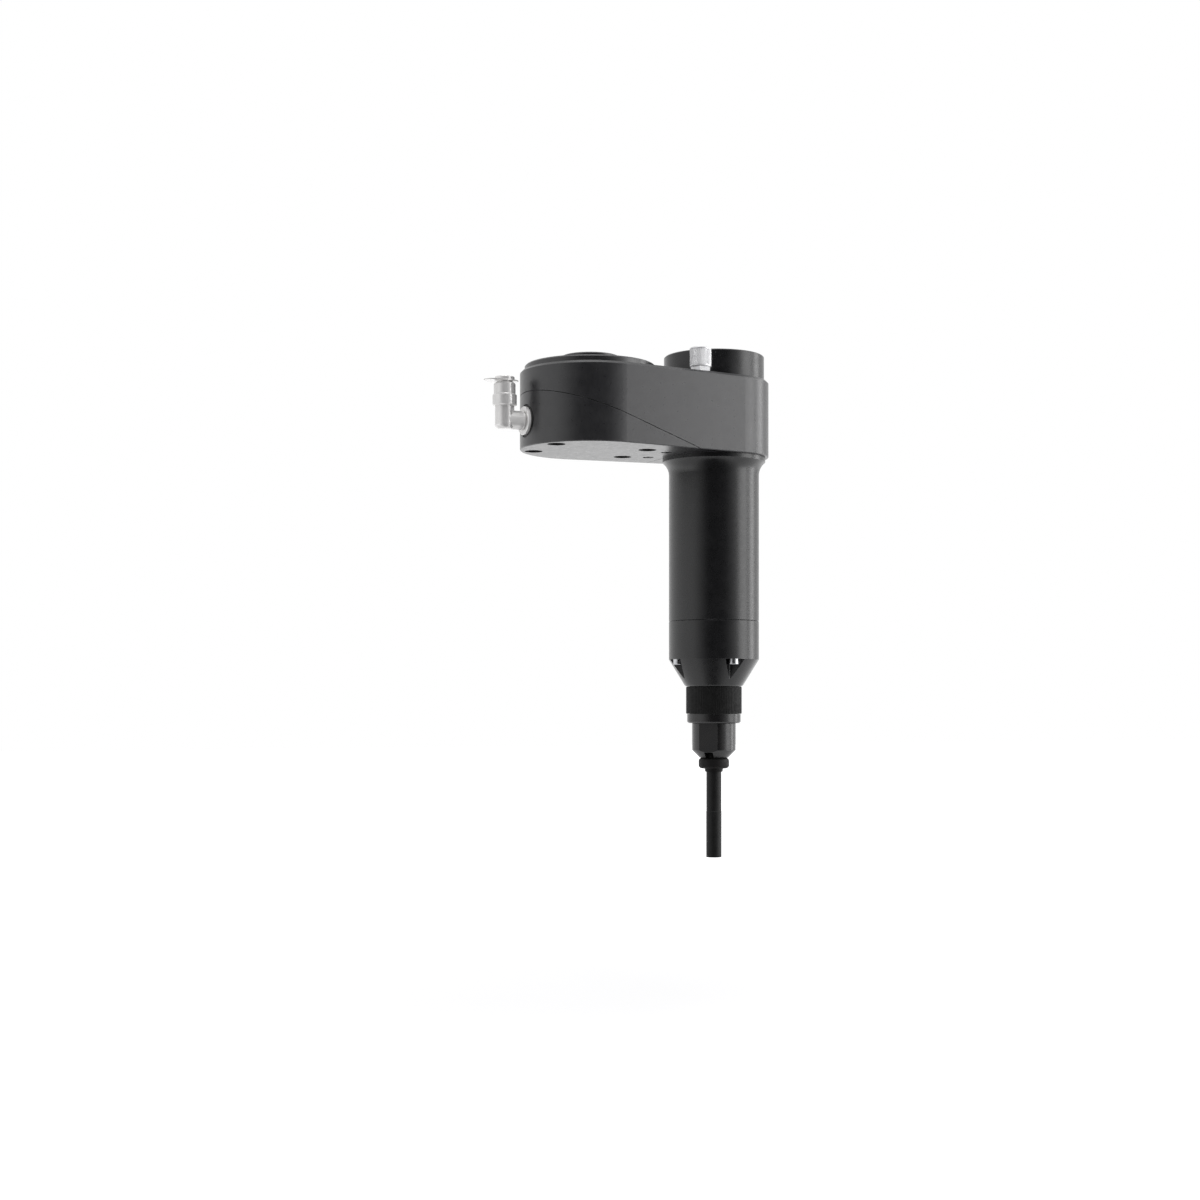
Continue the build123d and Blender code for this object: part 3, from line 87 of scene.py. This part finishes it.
def setCamera(look):
    data = bpy.data.cameras.new("camera")
    data.lens = look["lens"]
    data.sensor_width = look["sensor"]
    data.shift_y = look["shift"]
    data.clip_start = look["nearest"]
    camera = bpy.data.objects.new("camera", data)
    camera.location = look["place"]
    camera.rotation_euler = (math.radians(90), 0, math.radians(look["heading"]))
    bpy.context.scene.collection.objects.link(camera)
    bpy.context.scene.camera = camera


setCamera(cameraLook)
bpy.context.scene.view_settings.view_transform = "Standard"
print("camera set")


# Small helpers for node trees and meshes

def addNode(tree, kind, sockets=None, **settings):
    # Each socket, by name or index, gets a plain value or the output of another node
    node = tree.nodes.new("ShaderNode" + kind)
    for name, value in settings.items():
        setattr(node, name, value)
    for name, value in (sockets or {}).items():
        if isinstance(value, bpy.types.NodeSocket):
            tree.links.new(value, node.inputs[name])
        else:
            node.inputs[name].default_value = value
    return node


def calculate(tree, operation, *values):
    return addNode(tree, "Math", dict(enumerate(values)), operation=operation).outputs["Value"]


def stretchTo(tree, value, low, high, fromLow=0.3, fromHigh=0.7):
    # The range that a noise pattern mostly stays in, unless another one is given, becomes low to high
    sockets = {"Value": value, "From Min": fromLow, "From Max": fromHigh, "To Min": low, "To Max": high}
    return addNode(tree, "MapRange", sockets).outputs["Result"]


def emptyTree(owner):
    # Node tree of a new material or world, without the nodes that it starts with
    owner.use_nodes = True
    owner.node_tree.nodes.clear()
    return owner.node_tree


def addMesh(name, mesh, material):
    # Turns a finished bmesh into an object of the scene
    data = bpy.data.meshes.new(name)
    mesh.to_mesh(data)
    mesh.free()
    data.materials.append(material)
    piece = bpy.data.objects.new(name, data)
    bpy.context.scene.collection.objects.link(piece)
    return piece


weldReach = 1e-7


def addPiece(name, mesh, material, body):
    # A piece of the part itself, which rides on one body
    bmesh.ops.remove_doubles(mesh, verts=mesh.verts, dist=weldReach)
    bmesh.ops.recalc_face_normals(mesh, faces=mesh.faces)
    piece = addMesh(name, mesh, material)
    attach(piece, body)
    return piece


# Lamps, world and floor of the studio

lampLooks = {
    "rightSoftbox": {"place": (1.22, -0.92, 0.2), "size": (0.7, 1.3), "watts": 8},
    "rightStrip": {"place": (1.53, -0.16, 0.1), "size": (0.45, 1.6), "watts": 8},
    "topPanel": {"place": (-0.2, -0.35, 1.5), "size": (1.2, 1.2), "watts": 9},
}
lampAim = (0.045, 0, -0.09)


def addLamp(name, look):
    data = bpy.data.lights.new(name, "AREA")
    data.shape = "RECTANGLE"
    data.size, data.size_y = look["size"]
    data.energy = look["watts"]
    lamp = bpy.data.objects.new(name, data)
    lamp.location = look["place"]
    turn = Vector(look["place"]) - Vector(lampAim)
    lamp.rotation_euler = turn.to_track_quat("Z", "Y").to_euler()
    lamp.visible_camera = False
    bpy.context.scene.collection.objects.link(lamp)


for lampName, lampLook in lampLooks.items():
    addLamp(lampName, lampLook)

worldLook = {"light": (0.5, 0.5, 0.51), "shown": (1, 1, 1)}


def seenDirectly(tree):
    # 1 for rays from the camera and for those that reflect or pass through
    path = addNode(tree, "LightPath").outputs
    either = calculate(tree, "MAXIMUM", path["Is Camera Ray"], path["Is Glossy Ray"])
    return calculate(tree, "MAXIMUM", either, path["Is Transmission Ray"])


def setWorld(look):
    world = bpy.data.worlds.new("studio")
    tree = emptyTree(world)
    light = addNode(tree, "Background", {"Color": (*look["light"], 1)})
    shown = addNode(tree, "Background", {"Color": (*look["shown"], 1)})
    choice = addNode(tree, "MixShader", {0: seenDirectly(tree), 1: light.outputs[0], 2: shown.outputs[0]})
    addNode(tree, "OutputWorld", {"Surface": choice.outputs[0]})
    bpy.context.scene.world = world


setWorld(worldLook)

floorLook = {
    "drop": 0.085,
    "half": 6,
    "colour": (0.62, 0.62, 0.62),
    "glow": 0.5,
    "farGlow": 1.1,
    "fade": (0.25, 0.95),  # the floor turns white between these distances from the object
}


def addFloor(look):
    mesh = bmesh.new()
    bmesh.ops.create_grid(mesh, x_segments=1, y_segments=1, size=look["half"])
    material = bpy.data.materials.new("paleFloor")
    tree = emptyTree(material)
    place = addNode(tree, "TexCoord").outputs["Object"]
    reach = addNode(tree, "VectorMath", {0: place}, operation="LENGTH").outputs["Value"]
    brighter = stretchTo(tree, reach, look["glow"], look["farGlow"], *look["fade"])
    matt = addNode(tree, "BsdfDiffuse", {"Color": (*look["colour"], 1)})
    glow = addNode(tree, "Emission", {"Strength": calculate(tree, "MULTIPLY", seenDirectly(tree), brighter)})
    both = addNode(tree, "AddShader", {0: matt.outputs[0], 1: glow.outputs[0]})
    addNode(tree, "OutputMaterial", {"Surface": both.outputs[0]})
    floor = addMesh("floor", mesh, material)
    floor.location = (spindleAxis.x / 2, 0, cadLow.z - look["drop"])


addFloor(floorLook)

flagLook = {
    "distance": 1.35,
    "low": -0.345,
    "high": 0.9,
    "mat": 0.07,  # the card's foot turns in along the floor to this distance
    "heading": 250,  # degrees, as are the next two
    "half": 58,
    "darkHalf": 24,
    "shade": 0.01,
    "steps": 48,
}


def addFlag(look):
    # Curved dark card beside the lens, which only reflections see, so round black parts keep a dark core
    inner, outer = math.radians(look["darkHalf"]), math.radians(look["half"])
    mesh = bmesh.new()
    turn = Matrix.Rotation(-outer, 3, "Z")
    outline = [(look["mat"], look["low"]), (look["distance"], look["low"]), (look["distance"], look["high"])]
    points = [mesh.verts.new(turn @ Vector((reach, 0, z))) for reach, z in outline]
    sides = [mesh.edges.new(pair) for pair in zip(points, points[1:])]
    bmesh.ops.spin(mesh, geom=points + sides, cent=(0, 0, 0), axis=(0, 0, 1),
                   angle=2 * outer, steps=look["steps"])
    material = bpy.data.materials.new("darkCard")
    tree = emptyTree(material)
    place = addNode(tree, "TexCoord").outputs["Object"]
    parts = addNode(tree, "SeparateXYZ", {0: place}).outputs
    offset = calculate(tree, "ABSOLUTE", calculate(tree, "ARCTAN2", parts["Y"], parts["X"]))
    card = addNode(tree, "Emission", {"Strength": stretchTo(tree, offset, look["shade"], 1, inner, outer)})
    addNode(tree, "OutputMaterial", {"Surface": card.outputs[0]})
    flag = addMesh("flag", mesh, material)
    flag.location = (spindleAxis.x / 2, 0, 0)
    flag.rotation_euler = (0, 0, math.radians(look["heading"]))
    flag.visible_camera = False
    flag.visible_diffuse = False
    flag.visible_transmission = False
    flag.visible_shadow = False


addFlag(flagLook)
print("studio lit")


# Patterns that the finishes are made of

mixInputs, mixResult = (6, 7), 2  # sockets of a mix node's colours
wavePitch = 0.31416  # from band to band of a wave pattern at a scale of 1
finerPatches = 2.7  # patches of roughness are this much finer than those of colour
ringRoughness = 0.6
coatRoughness = 0.2
# Corners lightened by the worn colour: partly edge wear, partly a painted highlight along every edge
edgeWearAndHighlight = {
    "samples": 4,
    "turn": (0.985, 0.86),  # cosine between the rounded and the true face, from a plain face to a fully lightened corner of wear and painted highlight
    "patches": (0.38, 0.62),
    "least": 0.25,
}


def objectPlace(tree, centre=(0, 0, 0)):
    place = addNode(tree, "TexCoord").outputs["Object"]
    fromCentre = [-value for value in centre]
    return addNode(tree, "Mapping", {"Vector": place, "Location": fromCentre}).outputs["Vector"]


def turnedPlace(tree, centre, along):
    # Distance from the turning axis and place along it, so that a pattern makes rings
    across, lengthwise = {"X": ((0, 1, 1), (1, 0, 0)), "Z": ((1, 1, 0), (0, 0, 1))}[along]
    place = objectPlace(tree, centre)
    flat = addNode(tree, "VectorMath", {0: place, 1: across}, operation="MULTIPLY").outputs["Vector"]
    radius = addNode(tree, "VectorMath", {0: flat}, operation="LENGTH").outputs["Value"]
    height = addNode(tree, "VectorMath", {0: place, 1: lengthwise}, operation="DOT_PRODUCT").outputs["Value"]
    return addNode(tree, "CombineXYZ", {"X": radius, "Z": height}).outputs["Vector"]


def noise(tree, place, scale, detail=3, roughness=0.5):
    sockets = {"Vector": place, "Scale": scale, "Detail": detail, "Roughness": roughness}
    return addNode(tree, "TexNoise", sockets).outputs["Fac"]


def mixColours(tree, amount, *colours):
    # Each of the two colours is a plain one or another node's output
    sockets = {"Factor": amount}
    for socket, colour in zip(mixInputs, colours):
        sockets[socket] = (*colour, 1) if isinstance(colour, tuple) else colour
    return addNode(tree, "Mix", sockets, data_type="RGBA").outputs[mixResult]


def bump(tree, height, distance, below=None):
    relief = addNode(tree, "Bump", {"Height": height, "Distance": distance})
    if below is not None:
        tree.links.new(below, relief.inputs["Normal"])
    return relief.outputs["Normal"]


def wearAndHighlightMask(tree, width, breakUp):
    # Painted highlight and wear along corners: bright where the surface turns a corner, broken up by a pattern
    rounded = addNode(tree, "Bevel", {"Radius": width}, samples=edgeWearAndHighlight["samples"]).outputs["Normal"]
    face = addNode(tree, "NewGeometry").outputs["Normal"]
    turn = addNode(tree, "VectorMath", {0: rounded, 1: face}, operation="DOT_PRODUCT").outputs["Value"]
    corner = stretchTo(tree, turn, 0, 1, *edgeWearAndHighlight["turn"])
    return calculate(tree, "MULTIPLY", corner, stretchTo(tree, breakUp, edgeWearAndHighlight["least"], 1, *edgeWearAndHighlight["patches"]))


def shaderOf(material):
    material.use_nodes = True
    return material.node_tree.nodes["Principled BSDF"]


def makeFinish(name, look, centre=None, along="Z"):
    # Colour patches, uneven roughness, grain, tool rings round an axis, and edges lightened by wear and a
    # painted highlight
    material = bpy.data.materials.new(name)
    shader = shaderOf(material)
    tree = material.node_tree
    shader.inputs["Metallic"].default_value = look.get("metallic", 0)
    shader.inputs["IOR"].default_value = look.get("ior", 1.5)
    shader.inputs["Coat Weight"].default_value = look.get("coat", 0)
    shader.inputs["Coat Roughness"].default_value = coatRoughness

    place = objectPlace(tree)
    patches = noise(tree, place, look["patchScale"])
    colour = mixColours(tree, stretchTo(tree, patches, 0, 1), look["colour"], look["shade"])
    finer = noise(tree, place, look["patchScale"] * finerPatches, detail=4)
    roughness = stretchTo(tree, finer, *look["roughness"])
    relief = bump(tree, noise(tree, place, look["grainScale"], detail=2), look["grainHeight"])

    if "ringScale" in look and centre is not None:
        rings = noise(tree, turnedPlace(tree, centre, along), look["ringScale"], roughness=ringRoughness)
        relief = bump(tree, rings, look["ringHeight"], relief)
    if "bandPitch" in look:
        sockets = {"Vector": turnedPlace(tree, centre, along), "Scale": wavePitch / look["bandPitch"]}
        bands = addNode(tree, "TexWave", sockets, bands_direction=look["bandAlong"]).outputs["Fac"]
        relief = bump(tree, bands, look["bandHeight"], relief)
        colour = mixColours(tree, bands, look["bandColour"], colour)
    # Corners take the lighter colour: edge wear and a painted highlight
    if "wornAndHighlit" in look:
        colour = mixColours(tree, wearAndHighlightMask(tree, look["edgeWidth"], patches), colour, look["wornAndHighlit"])

    tree.links.new(colour, shader.inputs["Base Color"])
    tree.links.new(roughness, shader.inputs["Roughness"])
    tree.links.new(relief, shader.inputs["Normal"])
    return material


def dress(material, *names):
    for name in names:
        nodes[name].data.materials.clear()
        nodes[name].data.materials.append(material)


# Satin black anodised aluminium: blasted on the arm, turned on the spindle

# The worn colour lightens every corner, as edge wear and as a painted highlight
armLook = {
    "colour": (0.020, 0.020, 0.022),
    "shade": (0.027, 0.027, 0.029),
    "wornAndHighlit": (0.11, 0.11, 0.115),
    "ior": 1.6,
    "roughness": (0.27, 0.34),
    "patchScale": 160,
    "grainScale": 3600,
    "grainHeight": 0.000012,
    "edgeWidth": 0.0004,
}
couplingLook = {**armLook, "ringScale": 2600, "ringHeight": 0.00001}
tubeLook = {
    "colour": (0.009, 0.009, 0.010),
    "shade": (0.013, 0.013, 0.014),
    "wornAndHighlit": (0.09, 0.09, 0.095),
    "ior": 1.5,
    "roughness": (0.25, 0.32),
    "patchScale": 130,
    "grainScale": 4200,
    "grainHeight": 0.000006,
    "ringScale": 2600,
    "ringHeight": 0.000005,
    "edgeWidth": 0.0004,
}

dress(makeFinish("armAnodised", armLook), "upper_housing", "lower_cover")
dress(makeFinish("couplingAnodised", couplingLook, Vector()), "robot_adapter")
dress(makeFinish("tubeAnodised", tubeLook, spindleAxis), "spindle_tube", "top_cap", "nose_housing")
print("aluminium dressed")


# Blackened steel of the nose, matt collar and rubber grip

# The worn colour lightens every corner, as edge wear and as a painted highlight
noseLook = {
    "colour": (0.009, 0.009, 0.010),
    "shade": (0.014, 0.013, 0.013),
    "wornAndHighlit": (0.13, 0.13, 0.13),
    "ior": 1.48,
    "roughness": (0.22, 0.32),
    "patchScale": 210,
    "grainScale": 3000,
    "grainHeight": 0.000006,
    "ringScale": 4200,
    "ringHeight": 0.000008,
    "edgeWidth": 0.0003,
}
collarLook = {
    "colour": (0.004, 0.004, 0.004),
    "shade": (0.006, 0.006, 0.006),
    "wornAndHighlit": (0.030, 0.030, 0.030),
    "ior": 1.3,
    "roughness": (0.50, 0.62),
    "patchScale": 260,
    "grainScale": 2600,
    "grainHeight": 0.00001,
    "edgeWidth": 0.00025,
}
gripLook = {
    "colour": (0.006, 0.006, 0.006),
    "shade": (0.010, 0.009, 0.009),
    "ior": 1.28,
    "roughness": (0.50, 0.66),
    "patchScale": 300,
    "grainScale": 1700,
    "grainHeight": 0.000018,
}
sleeveLook = {
    "colour": (0.008, 0.008, 0.008),
    "shade": (0.012, 0.012, 0.012),
    "wornAndHighlit": (0.07, 0.07, 0.07),
    "ior": 1.3,
    "roughness": (0.44, 0.56),
    "patchScale": 240,
    "grainScale": 2800,
    "grainHeight": 0.000007,
    "ringScale": 3800,
    "ringHeight": 0.00001,
    "edgeWidth": 0.0002,
}

dress(makeFinish("blackenedSteel", noseLook, spindleAxis), "nose_adapter", "nose_body")
dress(makeFinish("mattCollar", collarLook), "lock_collar")
dress(makeFinish("gripRubber", gripLook), "sleeve_grip")
dress(makeFinish("dullSleeve", sleeveLook, spindleAxis), "vacuum_sleeve")
print("nose dressed")


# Bright fitting and connector, plated and blackened screws

nickelLook = {
    "colour": (0.90, 0.89, 0.88),
    "shade": (0.84, 0.83, 0.82),
    "metallic": 0.35,
    "roughness": (0.16, 0.26),
    "patchScale": 320,
    "grainScale": 2400,
    "grainHeight": 0.000003,
    "ringScale": 3000,
    "ringHeight": 0.000005,
}
satinNickelLook = {
    "colour": (0.88, 0.88, 0.89),
    "shade": (0.82, 0.82, 0.83),
    "metallic": 0.4,
    "roughness": (0.28, 0.40),
    "patchScale": 420,
    "grainScale": 3200,
    "grainHeight": 0.000005,
}
zincLook = {
    "colour": (0.60, 0.60, 0.61),
    "shade": (0.44, 0.45, 0.47),
    "metallic": 1,
    "roughness": (0.22, 0.42),
    "patchScale": 700,
    "grainScale": 4200,
    "grainHeight": 0.000005,
}
blackScrewLook = {**noseLook, "wornAndHighlit": (0.2, 0.2, 0.2), "patchScale": 600}

dress(makeFinish("brightNickelFitting", nickelLook, fittingAxis, "X"), "fitting_stem", "hose_nipple")
dress(makeFinish("brightNickelElbow", nickelLook, portAxis), "elbow_body", "release_ring")
satinNickel = makeFinish("satinNickel", satinNickelLook)
dress(satinNickel, "connector_shell", "connector_ring")
dress(makeFinish("zincPlate", zincLook), "nose_screws", "board_screws", "locating_dowel", "bayonet_pins")
dress(makeFinish("blackScrews", blackScrewLook), "housing_screws", "cover_screws", "cap_screws")
print("fittings dressed")


# Pieces inside the housing

groundLook = {
    "colour": (0.56, 0.56, 0.57),
    "shade": (0.46, 0.46, 0.48),
    "metallic": 1,
    "roughness": (0.16, 0.28),
    "patchScale": 300,
    "grainScale": 3000,
    "grainHeight": 0.000004,
    "ringScale": 4500,
    "ringHeight": 0.000006,
}
coreLook = {
    "colour": (0.27, 0.27, 0.28),
    "shade": (0.20, 0.20, 0.21),
    "metallic": 1,
    "roughness": (0.38, 0.52),
    "patchScale": 260,
    "grainScale": 2600,
    "grainHeight": 0.00001,
    "bandPitch": 0.0005,
    "bandAlong": "Z",
    "bandHeight": 0.00003,
    "bandColour": (0.12, 0.12, 0.13),
}
magnetLook = {
    "colour": (0.42, 0.42, 0.44),
    "shade": (0.34, 0.34, 0.36),
    "metallic": 1,
    "roughness": (0.20, 0.34),
    "patchScale": 360,
    "grainScale": 2400,
    "grainHeight": 0.000008,
}
copperLook = {
    "colour": (0.62, 0.26, 0.10),
    "shade": (0.46, 0.17, 0.07),
    "metallic": 1,
    "roughness": (0.22, 0.34),
    "coat": 0.6,
    "patchScale": 240,
    "grainScale": 2200,
    "grainHeight": 0.000006,
    "bandPitch": 0.00055,
    "bandAlong": "X",
    "bandHeight": 0.00012,
    "bandColour": (0.16, 0.05, 0.02),
}
aluminiumLook = {
    "colour": (0.68, 0.68, 0.70),
    "shade": (0.58, 0.58, 0.60),
    "metallic": 1,
    "roughness": (0.24, 0.38),
    "patchScale": 180,
    "grainScale": 2600,
    "grainHeight": 0.000005,
    "ringScale": 2400,
    "ringHeight": 0.000014,
}

dress(makeFinish("groundSteel", groundLook, spindleAxis),
      "rotor_shaft", "sun_gear", "planet_gear_1", "planet_gear_2", "planet_gear_3", "planet_pins", "ring_gear",
      "spindle_shaft", "rotor_bearing_outer", "rotor_bearing_inner", "spindle_bearing_outer",
      "spindle_bearing_inner", "bearing_balls", "bit_chuck", "chuck_sleeve", "driver_bit")
dress(makeFinish("laminatedCore", coreLook, spindleAxis), "stator_core")
dress(makeFinish("platedMagnet", magnetLook), "rotor_magnets", "encoder_magnet")
dress(makeFinish("enamelledCopper", copperLook, spindleAxis), "stator_windings")
dress(makeFinish("machinedAluminium", aluminiumLook, spindleAxis),
      "upper_end_plate", "lower_end_plate", "bearing_carrier", "clamp_ring")

maskLook = {
    "colour": (0.015, 0.12, 0.045),
    "shade": (0.03, 0.22, 0.08),
    "roughness": (0.22, 0.32),
    "patchScale": 500,
    "trackPitch": 0.0016,
    "trackRise": (0.78, 0.84),  # where a track's edge lies between two cells of the maze
    "trackHeight": 0.00003,
}


def makeBoardFinish(name, look):
    # Solder mask over a maze of raised tracks
    material = bpy.data.materials.new(name)
    shader = shaderOf(material)
    tree = material.node_tree
    place = objectPlace(tree)
    sockets = {"Vector": place, "Scale": 1 / look["trackPitch"]}
    cells = addNode(tree, "TexVoronoi", sockets, feature="F2", distance="MANHATTAN").outputs["Distance"]
    tracks = stretchTo(tree, cells, 0, 1, *look["trackRise"])
    roughness = stretchTo(tree, noise(tree, place, look["patchScale"]), *look["roughness"])
    tree.links.new(mixColours(tree, tracks, look["colour"], look["shade"]), shader.inputs["Base Color"])
    tree.links.new(roughness, shader.inputs["Roughness"])
    tree.links.new(bump(tree, tracks, look["trackHeight"]), shader.inputs["Normal"])
    return material


mouldedLook = {
    "colour": (0.022, 0.022, 0.022),
    "shade": (0.034, 0.034, 0.034),
    "roughness": (0.40, 0.56),
    "patchScale": 420,
    "grainScale": 3000,
    "grainHeight": 0.000014,
}
insulatorLook = {**mouldedLook, "patchScale": 700}
sealLook = {
    "colour": (0.010, 0.010, 0.010),
    "shade": (0.018, 0.018, 0.018),
    "roughness": (0.52, 0.68),
    "patchScale": 360,
    "grainScale": 1800,
    "grainHeight": 0.000016,
}
hoseLook = {
    "colour": (0.03, 0.09, 0.34),
    "shade": (0.05, 0.13, 0.42),
    "roughness": (0.18, 0.30),
    "coat": 0.3,
    "patchScale": 200,
    "grainScale": 1400,
    "grainHeight": 0.000005,
}
jacketLook = {
    "colour": (0.030, 0.030, 0.031),
    "shade": (0.044, 0.044, 0.045),
    "roughness": (0.46, 0.60),
    "patchScale": 320,
    "grainScale": 2200,
    "grainHeight": 0.000014,
}

dress(makeBoardFinish("solderMask", maskLook), "control_board", "encoder_board")
dress(makeFinish("mouldedComponents", mouldedLook), "board_components")
dress(makeFinish("mouldedInsulator", insulatorLook), "connector_insert")
dress(makeFinish("sealRubber", sealLook), "cover_gasket", "fitting_gasket", "shaft_seal")
dress(makeFinish("airHoseSkin", hoseLook), "air_hose")
dress(makeFinish("cableJacket", jacketLook), "motor_cable", "power_cable")
print("inner pieces dressed")


# Knurled nut of the connector, with a real diamond knurl

nutLook = {
    "columns": 40,
    "rows": 10,
    "knurlDeep": 0.00022,
    "edge": 0.00045,
    "land": 0.0009,
    "boreR": 0.00475,
    "inset": 0.00002,  # keeps the knurl's tips inside the plain ring that the nut stands for
}
levelSlack = 1e-6


def growRim(mesh, rim):
    # Extrudes an open rim and returns the new rim's edges and points
    grown = bmesh.ops.extrude_edge_only(mesh, edges=rim)["geom"]
    edges = [item for item in grown if isinstance(item, bmesh.types.BMEdge)]
    points = [item for item in grown if isinstance(item, bmesh.types.BMVert)]
    return edges, points


def setRadius(point, radius):
    point.co.xy *= radius / point.co.xy.length


def buildConnectorNut(look):
    low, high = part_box("connector_ring")
    edge = look["edge"]
    outerR = (high.x - low.x) / 2 - look["inset"]
    wallR = outerR - look["knurlDeep"]
    wallLow, wallHigh = low.z + look["land"], high.z - look["land"]
    mesh = bmesh.new()
    bmesh.ops.create_circle(mesh, segments=look["columns"], radius=wallR)
    bmesh.ops.translate(mesh, verts=mesh.verts, vec=(0, 0, wallLow))
    rim = list(mesh.edges)
    for row in range(look["rows"]):
        rim, points = growRim(mesh, rim)
        bmesh.ops.translate(mesh, verts=points, vec=(0, 0, (wallHigh - wallLow) / look["rows"]))

    # The wall's squares become diamonds, and each one's middle is raised to a tip
    squares = [side for side in mesh.edges if not side.is_boundary]
    bmesh.ops.poke(mesh, faces=mesh.faces, offset=0)
    bmesh.ops.dissolve_edges(mesh, edges=squares, use_verts=False, use_face_split=False)
    diamonds = [face for face in mesh.faces if len(face.verts) == 4]
    bmesh.ops.recalc_face_normals(mesh, faces=mesh.faces)
    tips = bmesh.ops.poke(mesh, faces=diamonds, offset=look["knurlDeep"])["verts"]
    if any(tip.co.xy.length < wallR for tip in tips):
        # The open wall's faces looked inwards, so its tips go out again
        for tip in tips:
            setRadius(tip, outerR)

    # Plain turned lands at both ends, down to the thread
    for pick, wallEnd, end, inward in ((min, wallLow, low.z, edge), (max, wallHigh, high.z, -edge)):
        level = pick(point.co.z for point in mesh.verts)
        rim = [side for side in mesh.edges
               if side.is_boundary and all(abs(point.co.z - level) < levelSlack for point in side.verts)]
        outline = [(outerR, wallEnd), (outerR, end + inward), (outerR - edge, end), (look["boreR"], end)]
        for radius, z in outline:
            rim, points = growRim(mesh, rim)
            for point in points:
                setRadius(point, radius)
                point.co.z = z
    bmesh.ops.bridge_loops(mesh, edges=[side for side in mesh.edges if side.is_boundary])
    bmesh.ops.translate(mesh, verts=mesh.verts, vec=(connectorAxis.x, connectorAxis.y, 0))
    nut = addPiece("connectorNut", mesh, satinNickel, "plug_nut")
    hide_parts("connector_ring")


buildConnectorNut(nutLook)
print("connector nut made")


# Coil springs with closed end turns

wireLook = {
    "colour": (0.42, 0.42, 0.44),
    "shade": (0.30, 0.30, 0.32),
    "metallic": 1,
    "roughness": (0.24, 0.36),
    "patchScale": 500,
    "grainScale": 5200,
    "grainHeight": 0.000006,
}
coilLook = {"sides": 12, "stepsEachTurn": 40, "closedPitch": 1.05}  # the pitch in wire diameters
sleeveSpringLook = {"turns": 7, "wireR": 0.0005, "travel": 0.012, "fixedEnd": "top"}
chuckSpringLook = {"turns": 6, "wireR": 0.00045, "travel": 0.0025, "fixedEnd": "bottom"}
springWire = makeFinish("springWire", wireLook)
dress(springWire, "sleeve_spring", "chuck_spring")


def buildSpring(name, node, body, look):
    low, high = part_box(node)
    centre = (low + high) / 2
    height = high.z - low.z
    wireR = look["wireR"]
    coilR = (high.x - low.x) / 2 - wireR
    closedRise = coilLook["closedPitch"] * 2 * wireR
    openRise = height - 2 * wireR - 2 * closedRise
    start = Matrix.Translation((coilR, 0, low.z + wireR)) @ Matrix.Rotation(math.radians(90), 4, "X")
    mesh = bmesh.new()
    bmesh.ops.create_circle(mesh, segments=coilLook["sides"], radius=wireR, matrix=start)
    end = [*mesh.verts, *mesh.edges]
    for turns, rise in ((1, closedRise), (look["turns"] - 2, openRise), (1, closedRise)):
        steps = coilLook["stepsEachTurn"] * turns
        end = bmesh.ops.spin(mesh, geom=end, cent=(0, 0, 0), axis=(0, 0, 1), angle=2 * math.pi * turns,
                             dvec=(0, 0, rise / steps), steps=steps)["geom_last"]
    bmesh.ops.holes_fill(mesh, edges=[side for side in mesh.edges if side.is_boundary])
    bmesh.ops.translate(mesh, verts=mesh.verts, vec=(centre.x, centre.y, 0))
    spring = addPiece(name, mesh, springWire, body)
    spring.data.shade_smooth()
    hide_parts(node)
    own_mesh(spring)


buildSpring("sleeveSpring", "sleeve_spring", "arm", sleeveSpringLook)
buildSpring("chuckSpring", "chuck_spring", "spindle", chuckSpringLook)
print("springs made")

print("done")
